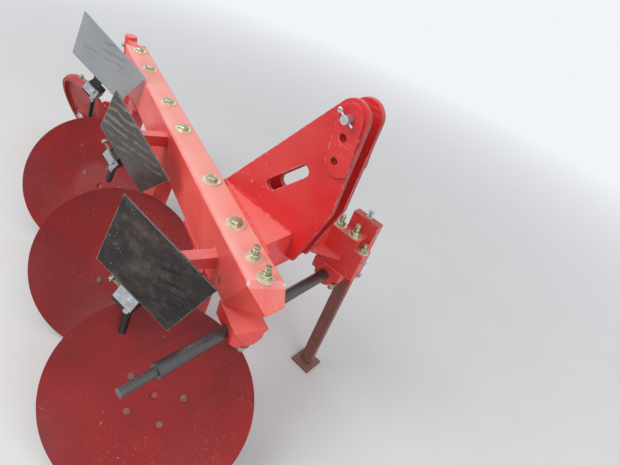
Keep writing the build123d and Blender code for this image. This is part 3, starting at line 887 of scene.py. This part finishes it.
class WeldTool(NodeTool):
    """Rippled weld beads along host edges, or smooth rods without the ripple."""

    SIZES = {"Bead Radius": 0.0035, "Step": 0.0016, "Ripple Length": 0.006, "Ripple Depth": 0.16,
             "Drift": 0.5}
    EVEN = {"Ripple Depth": 0.0, "Drift": 0.0}

    def __init__(self) -> None:
        """Build the tree."""
        super().__init__("weld_bead", self.SIZES, "Finish")
        given = self.given
        path = self.make("GeometryNodeMeshToCurve", {"Mesh": given["Geometry"]})
        fine = self.make("GeometryNodeResampleCurve", {"Curve": path, "Length": given["Step"]}, mode="LENGTH")
        run = self.make("GeometryNodeSplineParameter", output="Length")
        phase = self.times(self.maths("DIVIDE", run, given["Ripple Length"]), tau)
        wave = self.times(self.maths("SINE", phase), given["Ripple Depth"])
        drift = self.times(self.maths("SUBTRACT", self.noise(run, 90.0), 0.5), given["Drift"])
        swell = self.plus(1.0, wave, drift)
        shaped = self.make("GeometryNodeSetCurveRadius", {"Curve": fine, "Radius": swell})
        ring = self.make("GeometryNodeCurvePrimitiveCircle", {"Resolution": 8,
                                                              "Radius": given["Bead Radius"]})
        swept = self.make("GeometryNodeCurveToMesh", {"Curve": shaped, "Profile Curve": ring, "Scale": swell,
                                                      "Fill Caps": True})
        self.close(self.clad(swept, "Finish"))


@dataclass(frozen=True)
class Kit:
    """What every sub-assembly needs: the frame, the finishes and the two tools."""

    frame: dict
    finishes: dict[str, Material]
    bolts: FastenerTool
    welds: WeldTool

    def joint(self, name: str) -> dict:
        """The joint of that name."""
        return next(joint for joint in self.frame["joints"] if joint["name"] == name)

    def mount(self, name: str) -> dict:
        """The mount of that name."""
        return next(mount for mount in self.frame["record"]["mounts"] if mount["name"] == name)


@dataclass
class BeamLine:
    """The slanting beam's line: everything on it is placed from its nose."""

    kit: Kit
    angle: float = radians(21.4)
    length: float = 1.815
    width: float = 0.110
    depth: float = 0.195
    first_column: float = 0.378
    pitch: float = 0.616
    shaft_back: float = 0.057
    pin_left_of_nose: float = 0.5975
    nose: Vector = field(init=False)
    rearwards: Vector = field(init=False)
    rightwards: Vector = field(init=False)

    def __post_init__(self) -> None:
        """Find the nose from the left lower-link pin and the beam's top."""
        pin = self.kit.mount("lower_link_pin_left")["pos_m"]
        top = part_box("main_beam")[1].z
        self.nose = Vector((pin[0] + self.shaft_back, pin[1] - self.pin_left_of_nose, top))
        self.rearwards = Vector((-cos(self.angle), sin(self.angle), 0.0))
        self.rightwards = Vector((-sin(self.angle), -cos(self.angle), 0.0))

    def at(self, rearward: float, rightward: float = 0.0, drop: float = 0.0) -> Vector:
        """A point so far along the beam from the nose, to its right and below its top."""
        return self.nose + self.rearwards * rearward + self.rightwards * rightward - UP * drop

    def off(self, ahead: float, left: float, up: float = 0.0) -> Vector:
        """A point straight ahead of, left of and above the nose."""
        return self.nose + Vector((ahead, left, up))

    def row(self, places: list[float], drop: float = 0.0, way: Vector = UP) -> list[Spot]:
        """Spots on the beam's middle line, so far along it and below its top."""
        return [Spot(self.at(place, 0.0, drop), way) for place in places]

    def column(self, number: int) -> float:
        """How far along the beam the column of that number stands, counted from 1."""
        return self.first_column + self.pitch * (number - 1)

    def read(self, point: Vector) -> tuple[float, float, float]:
        """A point's distances rearward, rightward and below the beam's top."""
        span = point - self.nose
        return span.dot(self.rearwards), span.dot(self.rightwards), -span.z

    def left_edge(self, ahead: float) -> Vector:
        """The point of the beam's upper left edge that lies so far ahead of the nose."""
        half = self.width / 2
        return self.at((-ahead - half * sin(self.angle)) / cos(self.angle), -half)


@dataclass
class Assembly:
    """A sub-assembly: it paints its nodes and adds its small parts."""

    kit: Kit
    line: BeamLine

    # the sizes of each kind of bolt or nut, and the nodes that take each finish
    SIZES: ClassVar[dict[str, Hex]] = {}
    COATS: ClassVar[dict[Finish, tuple[str, ...]]] = {}

    def named(self, name: str) -> str:
        """The full name of a node or piece."""
        return name

    def build(self) -> None:
        """Make the new pieces."""

    def paint(self, name: str, finish: Finish) -> None:
        """Give a node its finish.

        Args:
            name: the node's name, without the unit's number.
            finish: the finish.
        """
        node = self.kit.frame["nodes"][self.named(name)]
        if not node.material_slots:
            node.data.materials.append(None)
        for place in node.material_slots:
            place.material = self.kit.finishes[finish]

    def dress(self) -> None:
        """Paint the nodes."""
        for finish, names in self.COATS.items():
            for name in names:
                self.paint(name, finish)

    def fasten(self, name: str, spots: list[Spot], finish: Finish = Finish.ZINC,
               washer: Finish | None = None, body: str = Body.FRAME, slot: Slot = Slot.ZINC) -> None:
        """Fasten one kind of bolt or nut at every spot.

        Args:
            name: the piece's name, without the unit's number.
            spots: where each one sits and which way it points.
            finish: the finish.
            washer: the washers' finish, where it differs.
            body: the body that carries the spots.
            slot: the record's slot for it.
        """
        finishes, places, ways = self.kit.finishes, [spot.at for spot in spots], [spot.way for spot in spots]
        inputs = dict(zip(FastenerTool.LABELS, astuple(self.SIZES[name])))
        inputs |= {"Finish": finishes[finish], "Washer Finish": finishes[washer or finish]}
        settle(self.kit.bolts.run(self.named(name), places, [], inputs, ways), body, slot)

    def weld(self, name: str, seams: list[list[Vector]], radius: float = BEAD_RADIUS,
             finish: Finish = Finish.RED, body: str = Body.FRAME, slot: Slot = Slot.RED_PAINT,
             even: bool = False) -> None:
        """Lay a weld bead, or bend a plain rod, along every seam.

        Args:
            name: the piece's name, without the unit's number.
            seams: the points of each seam.
            radius: the bead's or rod's radius.
            finish: the finish.
            body: the body that carries the seams.
            slot: the record's slot for it.
            even: whether it is a plain rod.
        """
        points: list[Vector] = []
        edges: list[tuple[int, int]] = []
        for seam in seams:
            first = len(points)
            points.extend(seam)
            edges.extend((first + step, first + step + 1) for step in range(len(seam) - 1))
        inputs = {"Bead Radius": radius, "Finish": self.kit.finishes[finish]}
        inputs |= WeldTool.EVEN if even else {}
        settle(self.kit.welds.run(self.named(name), points, edges, inputs), body, slot)


@dataclass
class Unit(Assembly):
    """A sub-assembly that the plough has three times."""

    number: int

    def named(self, name: str) -> str:
        """The full name of a node or piece, with the unit's number."""
        return f"{name}_{self.number}"


@dataclass
class MainBeam(Assembly):
    """Beam, nose, end plate and the bolts through the column flanges."""

    bolt_reach: float = 0.1225
    stud_middle: float = 0.056
    stud_reach: float = 0.043
    flange: float = 0.018
    block: float = 0.084
    plug_place: tuple[float, float] = (0.163, 0.141)
    weld_short: float = 0.010
    weld_radius: float = 0.0035

    SIZES = {"beam_bolts": Hex(0.033, 0.004, 0.0215, 0.015),
             "beam_bolt_nuts": Hex(0.026, 0.004, 0.0215, 0.018, 0.0115, 0.010),
             "nose_studs": Hex(0.028, 0.003, 0.0185, 0.0145, 0.0095, 0.026),
             "nose_stud_nuts": Hex(0.024, 0.004, 0.0195, 0.017, 0.0105, 0.014),
             "beam_plug": Hex(0.009, 0.0015, 0.0052, 0.0012)}
    COATS = {Finish.BEAM: ("main_beam", "beam_end", "beam_nose"), Finish.RED: ("nose_shield", "nose_bearing")}

    def build(self) -> None:
        """Bolts along the top, nuts under the flanges, studs in the nose and the end plate's weld."""
        line, half, depth, short = self.line, self.line.width / 2, self.line.depth, self.weld_short
        bolts = [line.column(number) + side * self.bolt_reach for number in (1, 2, 3) for side in SIDES]
        studs = [self.stud_middle + side * self.stud_reach for side in SIDES]
        self.fasten("beam_bolts", line.row(bolts), Finish.YELLOW, Finish.PALE)
        self.fasten("beam_bolt_nuts", line.row(bolts, depth + self.flange, DOWN), Finish.YELLOW)
        self.fasten("nose_studs", line.row(studs), Finish.YELLOW, Finish.PALE)
        self.fasten("nose_stud_nuts", line.row(studs, depth + self.block, DOWN), Finish.YELLOW)
        along, drop = self.plug_place
        self.fasten("beam_plug", [Spot(line.at(along, half, drop), line.rightwards)], Finish.TAN)
        seams = [[line.at(line.length, side * half, short), line.at(line.length, side * half, depth - short)]
                 for side in SIDES]
        seams.append([line.at(line.length, short - half), line.at(line.length, half - short)])
        self.weld("beam_end_weld", seams, self.weld_radius)


@dataclass
class DiscUnit(Unit):
    """One dished disc with its hub, bearing housing and column."""

    radius: float = 0.330
    sphere: float = 0.676
    flat: float = 0.122
    thickness: float = 0.006
    bore: float = 0.013
    flat_rings: tuple[float, ...] = (0.06, 0.10)
    rings: int = 16
    turns: int = 144
    rim_swell: float = 0.0006
    rivets: int = 5
    rivet_ring: float = 0.098
    rivet_turn: float = 0.35
    hub_thickness: float = 0.014
    seat_gap: float = 0.0003
    cap_bolts: int = 6
    cap_half: float = 0.006
    cap_ring: float = 0.038
    housing_radius: float = 0.062
    housing_middle: float = 0.1073
    column_depth: float = 0.120
    column_width: float = 0.070
    column_top: float = 0.213

    SIZES = {"disc_rivets": Hex(0.0115, 0.0016, 0.006, 0.0008),
             "disc_nuts": Hex(0.0135, 0.002, 0.0105, 0.009, 0.0058, 0.006),
             "cap_bolts": Hex(0.0075, 0.0012, 0.0062, 0.005), "grease_nipple": NIPPLE}
    COATS = {Finish.IRON: ("disc_hub",), Finish.RED: ("disc_column", "bearing_cap")}

    def __post_init__(self) -> None:
        """Read the disc's centre and axis from its joint."""
        joint = self.kit.joint(self.named("disc_spin"))
        self.centre = Vector(joint["pos_m"])
        self.axis = Vector(joint["axis"]).normalized()
        self.body = joint["child"]

    def build(self) -> None:
        """Make the smooth disc, its rivets and nuts, and the small parts behind it."""
        self._disc()
        self._rivets()
        self._housing()

    def depth_at(self, radius: float) -> float:
        """Distance of the dish's back from the rim plane at a radius; the middle is flat."""
        level = sqrt(self.sphere ** 2 - self.radius ** 2)
        return level - sqrt(self.sphere ** 2 - max(radius, self.flat) ** 2)

    def _disc(self) -> None:
        """A smooth dish with a rounded rim in place of the faceted one."""
        steps = [self.bore, *self.flat_rings]
        steps += [self.flat + (self.radius - self.flat) * step / self.rings for step in range(self.rings + 1)]
        back = [(radius, self.depth_at(radius)) for radius in steps]
        front = [(radius, depth + self.thickness) for radius, depth in reversed(back)]
        rim = [(self.radius + self.rim_swell, self.depth_at(self.radius) + self.thickness / 2)]
        profile = back + rim + front
        shape = bmesh.new()
        loops = []
        for turn in range(self.turns):
            out = around(self.axis, tau * turn / self.turns)
            loops.append([shape.verts.new(self.centre + out * r + self.axis * d) for r, d in profile])
        for near, far in zip(loops, loops[1:] + loops[:1]):
            for step in range(len(profile)):
                after = (step + 1) % len(profile)
                shape.faces.new((near[step], near[after], far[after], far[step]))
        bmesh.ops.recalc_face_normals(shape, faces=shape.faces)
        piece = from_shape(self.named("dished_disc"), shape, self.kit.finishes[Finish.DISC])
        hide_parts(f"disc_{self.number}")
        settle(piece, self.body, Slot.DISC_PAINT)

    def _rivets(self) -> None:
        """Flat heads round the middle of the disc's front, and their nuts behind the hub's flange."""
        face = self.centre + self.axis * (self.depth_at(self.rivet_ring) + self.thickness)
        places = [face + around(self.axis, tau * (place + self.rivet_turn) / self.rivets) * self.rivet_ring
                  for place in range(self.rivets)]
        self.fasten("disc_rivets", [Spot(place, self.axis) for place in places], Finish.LEG, body=self.body,
                    slot=Slot.DISC_PAINT)
        behind = self.axis * (self.seat_gap + self.hub_thickness + self.thickness)
        self.fasten("disc_nuts", [Spot(place - behind, -self.axis) for place in places], body=self.body)

    def _housing(self) -> None:
        """The cap's small bolts, the weld round the column's head and the housing's grease nipple."""
        low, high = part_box(f"bearing_cap_{self.number}")
        seat = (low + high) / 2 - self.axis * self.cap_half
        caps = [Spot(seat + around(self.axis, tau * place / self.cap_bolts) * self.cap_ring, -self.axis)
                for place in range(self.cap_bolts)]
        self.fasten("cap_bolts", caps)
        along, half, wide = self.line.column(self.number), self.column_depth / 2, self.column_width / 2
        seam = [self.line.at(along + a * half, b * wide, self.column_top)
                for a, b in ((-1, -1), (1, -1), (1, 1), (-1, 1), (-1, -1))]
        self.weld("column_weld", [seam])
        back = self.centre + self.axis * (self.depth_at(0.0) - self.housing_middle)
        side = around(self.axis, 0.0)
        self.fasten("grease_nipple", [Spot(back + side * self.housing_radius, side)], Finish.YELLOW)


@dataclass(frozen=True)
class BladePlace:
    """Where one scraper's blade stands, from its column's head, and where its clamp sits."""

    foot: Triple
    heading: float
    fall: float
    lean: float
    grip: float
    drop: float
    finish: Finish
    nuts: int


@dataclass
class ScraperUnit(Unit):
    """One scraper: blade, rod, clamp and bracket."""

    blade_half: float = 0.118
    plate_above: float = 0.046
    plate_half: float = 0.028
    plate_thickness: float = 0.008
    seat_gap: float = 0.0003
    bolt_at: tuple[float, float] = (0.014, 0.008)
    nuts_at: tuple[tuple[float, float], ...] = ((0.024, -0.036), (0.031, -0.046))
    screw_span: tuple[float, float] = (-0.034, -0.070)
    screw_across: float = -0.004
    screw_out: float = -0.016
    screw_radius: float = 0.0062
    on_beam: float = 0.0005
    bracket_bead: float = 0.0040

    PLACES = (BladePlace((0.100, -0.328, -0.068), 15, 21, 8, 0.005, 0.046, Finish.SCRAPER, 1),
              BladePlace((0.109, -0.263, -0.049), 14, 39, -13, -0.020, 0.090, Finish.BROWN, 2),
              BladePlace((0.065, -0.244, 0.020), 30, 32, -13, 0.020, 0.110, Finish.BLUE, 2))
    SIZES = {"clamp_bolt": Hex(0.0120, 0.0015, 0.0100, 0.0075),
             "clamp_nuts": Hex(0.0075, 0.001, 0.0065, 0.006),
             "clamp_screw": Hex(0.0130, 0.0035, 0.0095, 0.007)}
    COATS = {Finish.RED: ("scraper_bracket",), Finish.ROD: ("scraper_rod", "scraper_clamp"),
             Finish.ZINC: ("scraper_plate",)}

    def __post_init__(self) -> None:
        """Find the blade's own axes: along it, across it and out of its face."""
        place = self.place = self.PLACES[self.number - 1]
        heading, fall, lean = (radians(value) for value in (place.heading, place.fall, place.lean))
        self.middle = self.line.at(self.line.column(self.number)) + Vector(place.foot)
        self.along = Vector((cos(fall) * cos(heading), cos(fall) * sin(heading), -sin(fall)))
        outward = Vector((sin(heading), -cos(heading), 0.0))
        self.face = outward * cos(lean) + outward.cross(self.along) * sin(lean)
        self.across = self.face.cross(self.along)
        top = min(-self.blade_half - place.drop + self.plate_above, -self.blade_half - self.seat_gap)
        self.plate_middle = top - self.plate_half

    def point(self, along: float, across: float, out: float = 0.0) -> Vector:
        """A point given from the clamp plate's middle: along the blade, across it and out of its face."""
        return (self.middle + self.along * (self.place.grip + along)
                + self.across * (self.plate_middle + across) + self.face * out)

    def build(self) -> None:
        """The blade's paint, the clamp's bolts, its set screw, and the bracket's weld."""
        self.paint("scraper_blade", self.place.finish)
        self.fasten("clamp_bolt", [Spot(self.point(*self.bolt_at, self.plate_thickness), self.face)])
        nuts = [Spot(self.point(*place), self.face) for place in self.nuts_at[:self.place.nuts]]
        self.fasten("clamp_nuts", nuts)
        screw = [self.point(along, self.screw_across, self.screw_out) for along in self.screw_span]
        self.weld("clamp_screw_shank", [screw], self.screw_radius, Finish.TAN, slot=Slot.ZINC, even=True)
        self.fasten("clamp_screw", [Spot(screw[1], -self.along)], Finish.YELLOW)
        self._bracket_weld()

    def _bracket_weld(self) -> None:
        """A bead round the bracket's root on the beam's side."""
        node, half = self.kit.frame["nodes"][self.named("scraper_bracket")], self.line.width / 2
        points = [self.line.read(node.matrix_world @ vert.co) for vert in node.data.vertices]
        root = [point for point in points if abs(point[1] - half) < self.on_beam]
        rear, drop = [point[0] for point in root], [point[2] for point in root]
        near, far, top, low = min(rear), max(rear), min(drop), max(drop)
        seam = [self.line.at(along, half, down)
                for along, down in ((near, top), (far, top), (far, low), (near, low), (near, top))]
        self.weld("bracket_weld", [seam], self.bracket_bead)


@dataclass
class Headstock(Assembly):
    """Mast plates, corner plate, cross arm and the top-link pin."""

    mast_behind: float = 0.066
    mast_left: float = 0.277
    gap: float = 0.054
    plate: float = 0.016
    hole_height: float = 0.432
    heel: float = 0.456
    arm_front: float = 0.116
    toe_drop: float = 0.090
    mast_bead: float = 0.0048
    corner_drop: float = 0.002
    linch_left: float = 0.208
    linch_half: float = 0.027
    linch_slope: Triple = (0.894, 0.0, -0.447)
    linch_radius: float = 0.0036
    eye_radius: float = 0.0050

    COATS = {Finish.MAST: ("mast_plate_left", "mast_plate_right"), Finish.ZINC: ("top_link_pin",),
             Finish.RED: ("headstock_plate", "cross_arm")}

    def build(self) -> None:
        """The linch pin through the top-link pin, and the welds of the mast and the corner plate."""
        off, slope = self.line.off, Vector(self.linch_slope)
        middle = off(-self.mast_behind, self.linch_left, self.hole_height)
        eye = middle - slope * (self.linch_half + self.eye_radius)
        bar = [middle - slope * self.linch_half, middle + slope * self.linch_half]
        self.weld("linch_pin", [bar, circle(eye, LEFT, self.eye_radius)], self.linch_radius, Finish.ZINC,
                  slot=Slot.ZINC, even=True)
        near, far = self.mast_left - self.gap / 2 - self.plate, self.mast_left + self.gap / 2 + self.plate
        faces = (near, near + self.plate, far - self.plate, far)
        feet = [[off(-self.heel, left), off(-self.arm_front, left)] for left in faces]
        toes = [[off(-self.arm_front, left), off(-self.arm_front, left, -self.toe_drop)] for left in faces]
        self.weld("mast_welds", feet + toes, self.mast_bead, Finish.MAST)
        ends = [self.line.left_edge(-back) - UP * self.corner_drop for back in (self.heel, self.arm_front)]
        self.weld("corner_plate_weld", [ends])


@dataclass
class LeftCarrier(Assembly):
    """Bearing carrier, its studs, the boss and the parking stand."""

    boss_radius: float = 0.045
    studs_ahead: tuple[float, float] = (-0.097, -0.026)
    step_ahead: float = 0.030
    step_drop: float = 0.075
    cap_screw: tuple[float, float] = (0.025, 0.013)
    cap_rise: float = 0.019
    socket_screw: tuple[float, float] = (0.547, 0.010)
    front_screws: tuple[tuple[float, float], ...] = ((0.513, 0.117), (0.524, 0.184))
    strip: tuple[Triple, Triple] = ((-0.236, 0.478, -0.038), (-0.116, 0.486, -0.012))
    strip_edge: float = 0.0015

    # each weld's two ends, ahead of, left of and above the nose
    WELDS = (((-0.080, 0.538, -0.038), (-0.080, 0.538, -0.188)),
             ((-0.080, 0.538, -0.038), (0.008, 0.538, -0.038)),
             ((0.032, 0.538, -0.075), (0.032, 0.538, -0.188)),
             ((-0.116, 0.478, -0.138), (-0.028, 0.478, -0.138)),
             ((-0.116, 0.478, -0.138), (-0.116, 0.406, -0.138)),
             ((-0.116, 0.478, -0.040), (-0.116, 0.478, -0.132)),
             ((-0.236, 0.478, -0.132), (-0.116, 0.478, -0.132)))
    SIZES = {"stand_cap_nut": Hex(0.0130, 0.002, 0.0095, 0.006, 0.0050, 0.011),
             "stand_cap_bolt": Hex(0.0095, 0.0015, 0.0085, 0.006),
             "socket_screw": Hex(0.0085, 0.003, 0.005, 0.002),
             "carrier_front_screws": Hex(0.0105, 0.002, 0.0085, 0.007),
             "carrier_studs": Hex(0.028, 0.003, 0.0185, 0.0145, 0.0095, 0.028),
             "ear_nuts": Hex(0.022, 0.004, 0.0185, 0.017, 0.0105, 0.016),
             "step_stud": Hex(0.024, 0.003, 0.0160, 0.0130, 0.0085, 0.022)}
    COATS = {Finish.RED: ("bearing_carrier", "corner_rib", "left_bearing", "stand_socket"),
             Finish.LEG: ("stand_leg",), Finish.BAR: ("cross_shaft",)}

    def build(self) -> None:
        """The screws, the welds, the closing strip and the long studs."""
        self._screws()
        self.weld("carrier_welds", [[self.line.off(*end) for end in ends] for ends in self.WELDS])
        self._strip()
        self._studs()

    def _screws(self) -> None:
        """Screws of the stand's cap, of its socket and of the carrier's front."""
        nose, high = self.line.nose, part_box("stand_socket")[1]
        back, inwards = self.cap_screw
        foot = Vector((nose.x - back, high.y - inwards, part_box("stand_leg")[1].z))
        self.fasten("stand_cap_nut", [Spot(foot, UP)], body=Body.STAND)
        self.fasten("stand_cap_bolt", [Spot(foot + UP * self.cap_rise, UP)], body=Body.STAND)
        left, drop = self.socket_screw
        self.fasten("socket_screw", [Spot(Vector((high.x, nose.y + left, nose.z - drop)), AHEAD)])
        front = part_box("bearing_carrier")[1].x
        self.fasten("carrier_front_screws", [Spot(Vector((front, nose.y + left, nose.z - drop)), AHEAD)
                                             for left, drop in self.front_screws])

    def _strip(self) -> None:
        """The thin strip with eased edges that closes the cross arm's end."""
        low, high = (self.line.off(*corner) for corner in self.strip)
        shape = bmesh.new()
        bmesh.ops.create_cube(shape, size=1.0)
        for vert in shape.verts:
            vert.co = Vector([low[k] + (vert.co[k] + 0.5) * (high[k] - low[k]) for k in range(3)])
        bmesh.ops.bevel(shape, geom=shape.edges[:], offset=self.strip_edge, segments=3, affect="EDGES",
                        profile=0.5)
        piece = from_shape("arm_end_strip", shape, self.kit.finishes[Finish.RED])
        settle(piece, Body.FRAME, Slot.RED_PAINT)

    def _studs(self) -> None:
        """Long studs through the carrier with nuts under the boss's ears, and one on the step."""
        nose, (low, high) = self.line.nose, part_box("bearing_carrier")
        middle = (low.y + high.y) / 2
        studs = [Spot(Vector((nose.x + ahead, middle, high.z)), UP) for ahead in self.studs_ahead]
        self.fasten("carrier_studs", studs, Finish.YELLOW, Finish.PALE)
        boss_low, boss_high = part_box("left_bearing")
        ears = []
        for spot in studs:
            off_middle = spot.at.x - (boss_low.x + boss_high.x) / 2
            below = boss_low.z + self.boss_radius - sqrt(self.boss_radius ** 2 - off_middle ** 2)
            ears.append(Spot(Vector((spot.at.x, middle, below)), DOWN))
        self.fasten("ear_nuts", ears, Finish.YELLOW)
        step = Vector((nose.x + self.step_ahead, middle, nose.z - self.step_drop))
        self.fasten("step_stud", [Spot(step, UP)], Finish.YELLOW, Finish.PALE)


@dataclass
class RearWheel(Assembly):
    """Furrow wheel with its swivelling arm."""

    hub_side: float = 0.055
    nut_gap: float = 0.0015
    web_half: float = 0.005
    web_radii: tuple[float, float] = (0.052, 0.222)
    bead_steps: int = 72
    king_behind: float = 0.140
    end_plate: float = 0.010
    bracket_half: float = 0.022
    bracket_bead: float = 0.0050
    weld_short: float = 0.004
    sleeve_drop: float = 0.012
    sleeve_radius: float = 0.033
    stop_drops: tuple[float, float] = (0.040, 0.150)
    nipple_drop: float = 0.095

    SIZES = {"axle_nut": Hex(0.037, 0.004, 0.030, 0.0135), "sleeve_grease_nipple": NIPPLE,
             "sleeve_stop_screws": Hex(0.0115, 0.004, 0.0095, 0.008)}
    COATS = {Finish.RED: ("furrow_bracket", "furrow_arm"), Finish.IRON: ("furrow_wheel",)}

    def build(self) -> None:
        """The axle's nut, the sleeve's stop screws and grease nipple, and the welds."""
        line, joint, top = self.line, self.kit.joint("furrow_wheel_spin"), self.sleeve_drop
        centre, axle = Vector(joint["pos_m"]), Vector(joint["axis"]).normalized()
        self.fasten("axle_nut", [Spot(centre - axle * (self.hub_side + self.nut_gap), -axle)],
                    body=Body.FURROW_ARM)
        beads = [circle(centre + axle * side * self.web_half, axle, radius, self.bead_steps)
                 for side in SIDES for radius in self.web_radii]
        self.weld("wheel_welds", beads, finish=Finish.IRON, body=Body.FURROW_WHEEL, slot=Slot.RED_IRON)
        root = line.length + self.end_plate
        king = root + self.king_behind
        stops = [line.at(king, self.sleeve_radius, top + drop) for drop in self.stop_drops]
        self.fasten("sleeve_stop_screws", [Spot(stop, line.rightwards) for stop in stops])
        nipple = Spot(line.at(king + self.sleeve_radius, 0.0, top + self.nipple_drop), line.rearwards)
        self.fasten("sleeve_grease_nipple", [nipple], Finish.YELLOW)
        seams = [[line.at(root, side * self.bracket_half, down)
                  for down in (top + self.weld_short, line.depth - self.weld_short)] for side in SIDES]
        self.weld("furrow_bracket_weld", seams, self.bracket_bead)


@dataclass
class Studio:
    """Floor, light and camera."""

    line: BeamLine
    camera_from_nose: Triple = (0.487, -0.784, 0.804)
    azimuth: float = radians(28.1)
    elevation: float = radians(33.2)
    roll: float = radians(21.73)
    focal_pixels: float = 439.4
    frame_pixels: float = 620.0
    sensor: float = 36.0
    clip_start: float = 0.05
    floor_half: float = 60.0
    floor_colour: Colour = (0.74, 0.735, 0.72)
    floor_shade: float = 0.93
    floor_rough: float = 0.85
    fade_start: float = 2.2
    fade_end: float = 7.0
    sky_colour: Colour = (0.93, 0.95, 1.0)
    sky_light: float = 0.62
    sky_seen: float = 0.95
    lit_point: Triple = (0.2, 0.0, 0.5)

    LAMPS = (("key_light", (-1.1, -3.0, 4.0), 4.2, 168.0), ("fill_light", (4.2, -0.6, 2.6), 2.8, 44.0))

    def build(self) -> None:
        """Make the floor, the lights and the camera."""
        self._floor()
        self._lights()
        self._camera()

    def _floor(self) -> None:
        """A plain pale floor that fades into the sky's colour away from the plough."""
        half = self.floor_half
        mesh = bpy.data.meshes.new("floor")
        mesh.from_pydata([(x * half, y * half, 0) for x, y in ((-1, -1), (1, -1), (1, 1), (-1, 1))], [],
                         [(0, 1, 2, 3)])
        tree = Surface("pale_floor")
        darker = tuple(channel * self.floor_shade for channel in self.floor_colour)
        near = tree.blend(tree.noise(tree.where, 3.0, 6.0, 0.6), self.floor_colour, darker)
        span = tree.make("ShaderNodeVectorMath", {0: tree.where}, "Value", operation="LENGTH")
        fade = tree.remap(span, self.fade_start, self.fade_end)
        rays = tree.add("ShaderNodeLightPath").outputs
        seen = tree.maths("MAXIMUM", rays["Is Camera Ray"], rays["Is Glossy Ray"])
        tree.feed(tree.shader, {"Base Color": tree.blend(fade, near, (0.0, 0.0, 0.0)),
                                "Roughness": self.floor_rough,
                                "Emission Strength": tree.times(fade, seen, self.sky_seen),
                                "Emission Color": self.sky_colour, "Specular IOR Level": 0.0})
        mesh.materials.append(tree.material)
        floor = new_object("floor", mesh)

    def _lights(self) -> None:
        """A broad key light from the right and above, a weaker one from ahead, and a pale sky."""
        for name, place, size, power in self.LAMPS:
            lamp = bpy.data.lights.new(name, "AREA")
            lamp.shape, lamp.size, lamp.energy = "DISK", size, power
            light = new_object(name, lamp)
            light.location = place
            aim = Vector(self.lit_point) - Vector(place)
            light.rotation_euler = aim.to_track_quat("-Z", "Y").to_euler()
        world = bpy.data.worlds.new("pale_sky")
        bpy.context.scene.world = world
        world.use_nodes = True
        world.node_tree.nodes.clear()
        tree = Tree(world.node_tree)
        rays = tree.add("ShaderNodeLightPath").outputs
        kinds = ("Is Camera Ray", "Is Glossy Ray", "Is Transmission Ray")
        seen = tree.maths("MAXIMUM", *(rays[kind] for kind in kinds))
        strength = tree.remap(seen, 0.0, 1.0, self.sky_light, self.sky_seen)
        sky = tree.make("ShaderNodeBackground", {"Color": self.sky_colour, "Strength": strength})
        tree.add("ShaderNodeOutputWorld", {"Surface": sky})

    def _camera(self) -> None:
        """The camera at the photograph's place, turned and rolled as it was."""
        data = bpy.data.cameras.new("camera")
        data.sensor_width = self.sensor
        data.lens = self.sensor * self.focal_pixels / self.frame_pixels
        data.clip_start = self.clip_start
        camera = new_object("camera", data)
        ahead = Vector((-sin(self.azimuth) * cos(self.elevation), cos(self.azimuth) * cos(self.elevation),
                        -sin(self.elevation)))
        level = ahead.cross(UP).normalized()
        upright = level.cross(ahead)
        right = level * cos(self.roll) + upright * sin(self.roll)
        top = upright * cos(self.roll) - level * sin(self.roll)
        turned = Matrix((right, top, -ahead)).transposed().to_4x4()
        camera.matrix_world = Matrix.Translation(self.line.off(*self.camera_from_nose)) @ turned
        bpy.context.scene.camera = camera


def main() -> None:
    """Build the plough's looks in order."""
    logging.basicConfig(level=logging.INFO, format="%(message)s")
    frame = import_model()
    bpy.context.scene.view_settings.view_transform = "Standard"
    disc_axis = next(Vector(joint["axis"]) for joint in frame["joints"] if joint["name"] == "disc_spin_1")
    kit = Kit(frame, make_finishes(disc_axis), FastenerTool(), WeldTool())
    line = BeamLine(kit)
    parts: list[Assembly] = [kind(kit, line) for kind in (MainBeam, Headstock, LeftCarrier, RearWheel)]
    parts += [kind(kit, line, number) for kind in (DiscUnit, ScraperUnit) for number in (1, 2, 3)]
    for part in parts:
        part.dress()
        part.build()
        LOG.info("built %s", type(part).__name__)
    Studio(line).build()


if __name__ == "__main__":
    main()
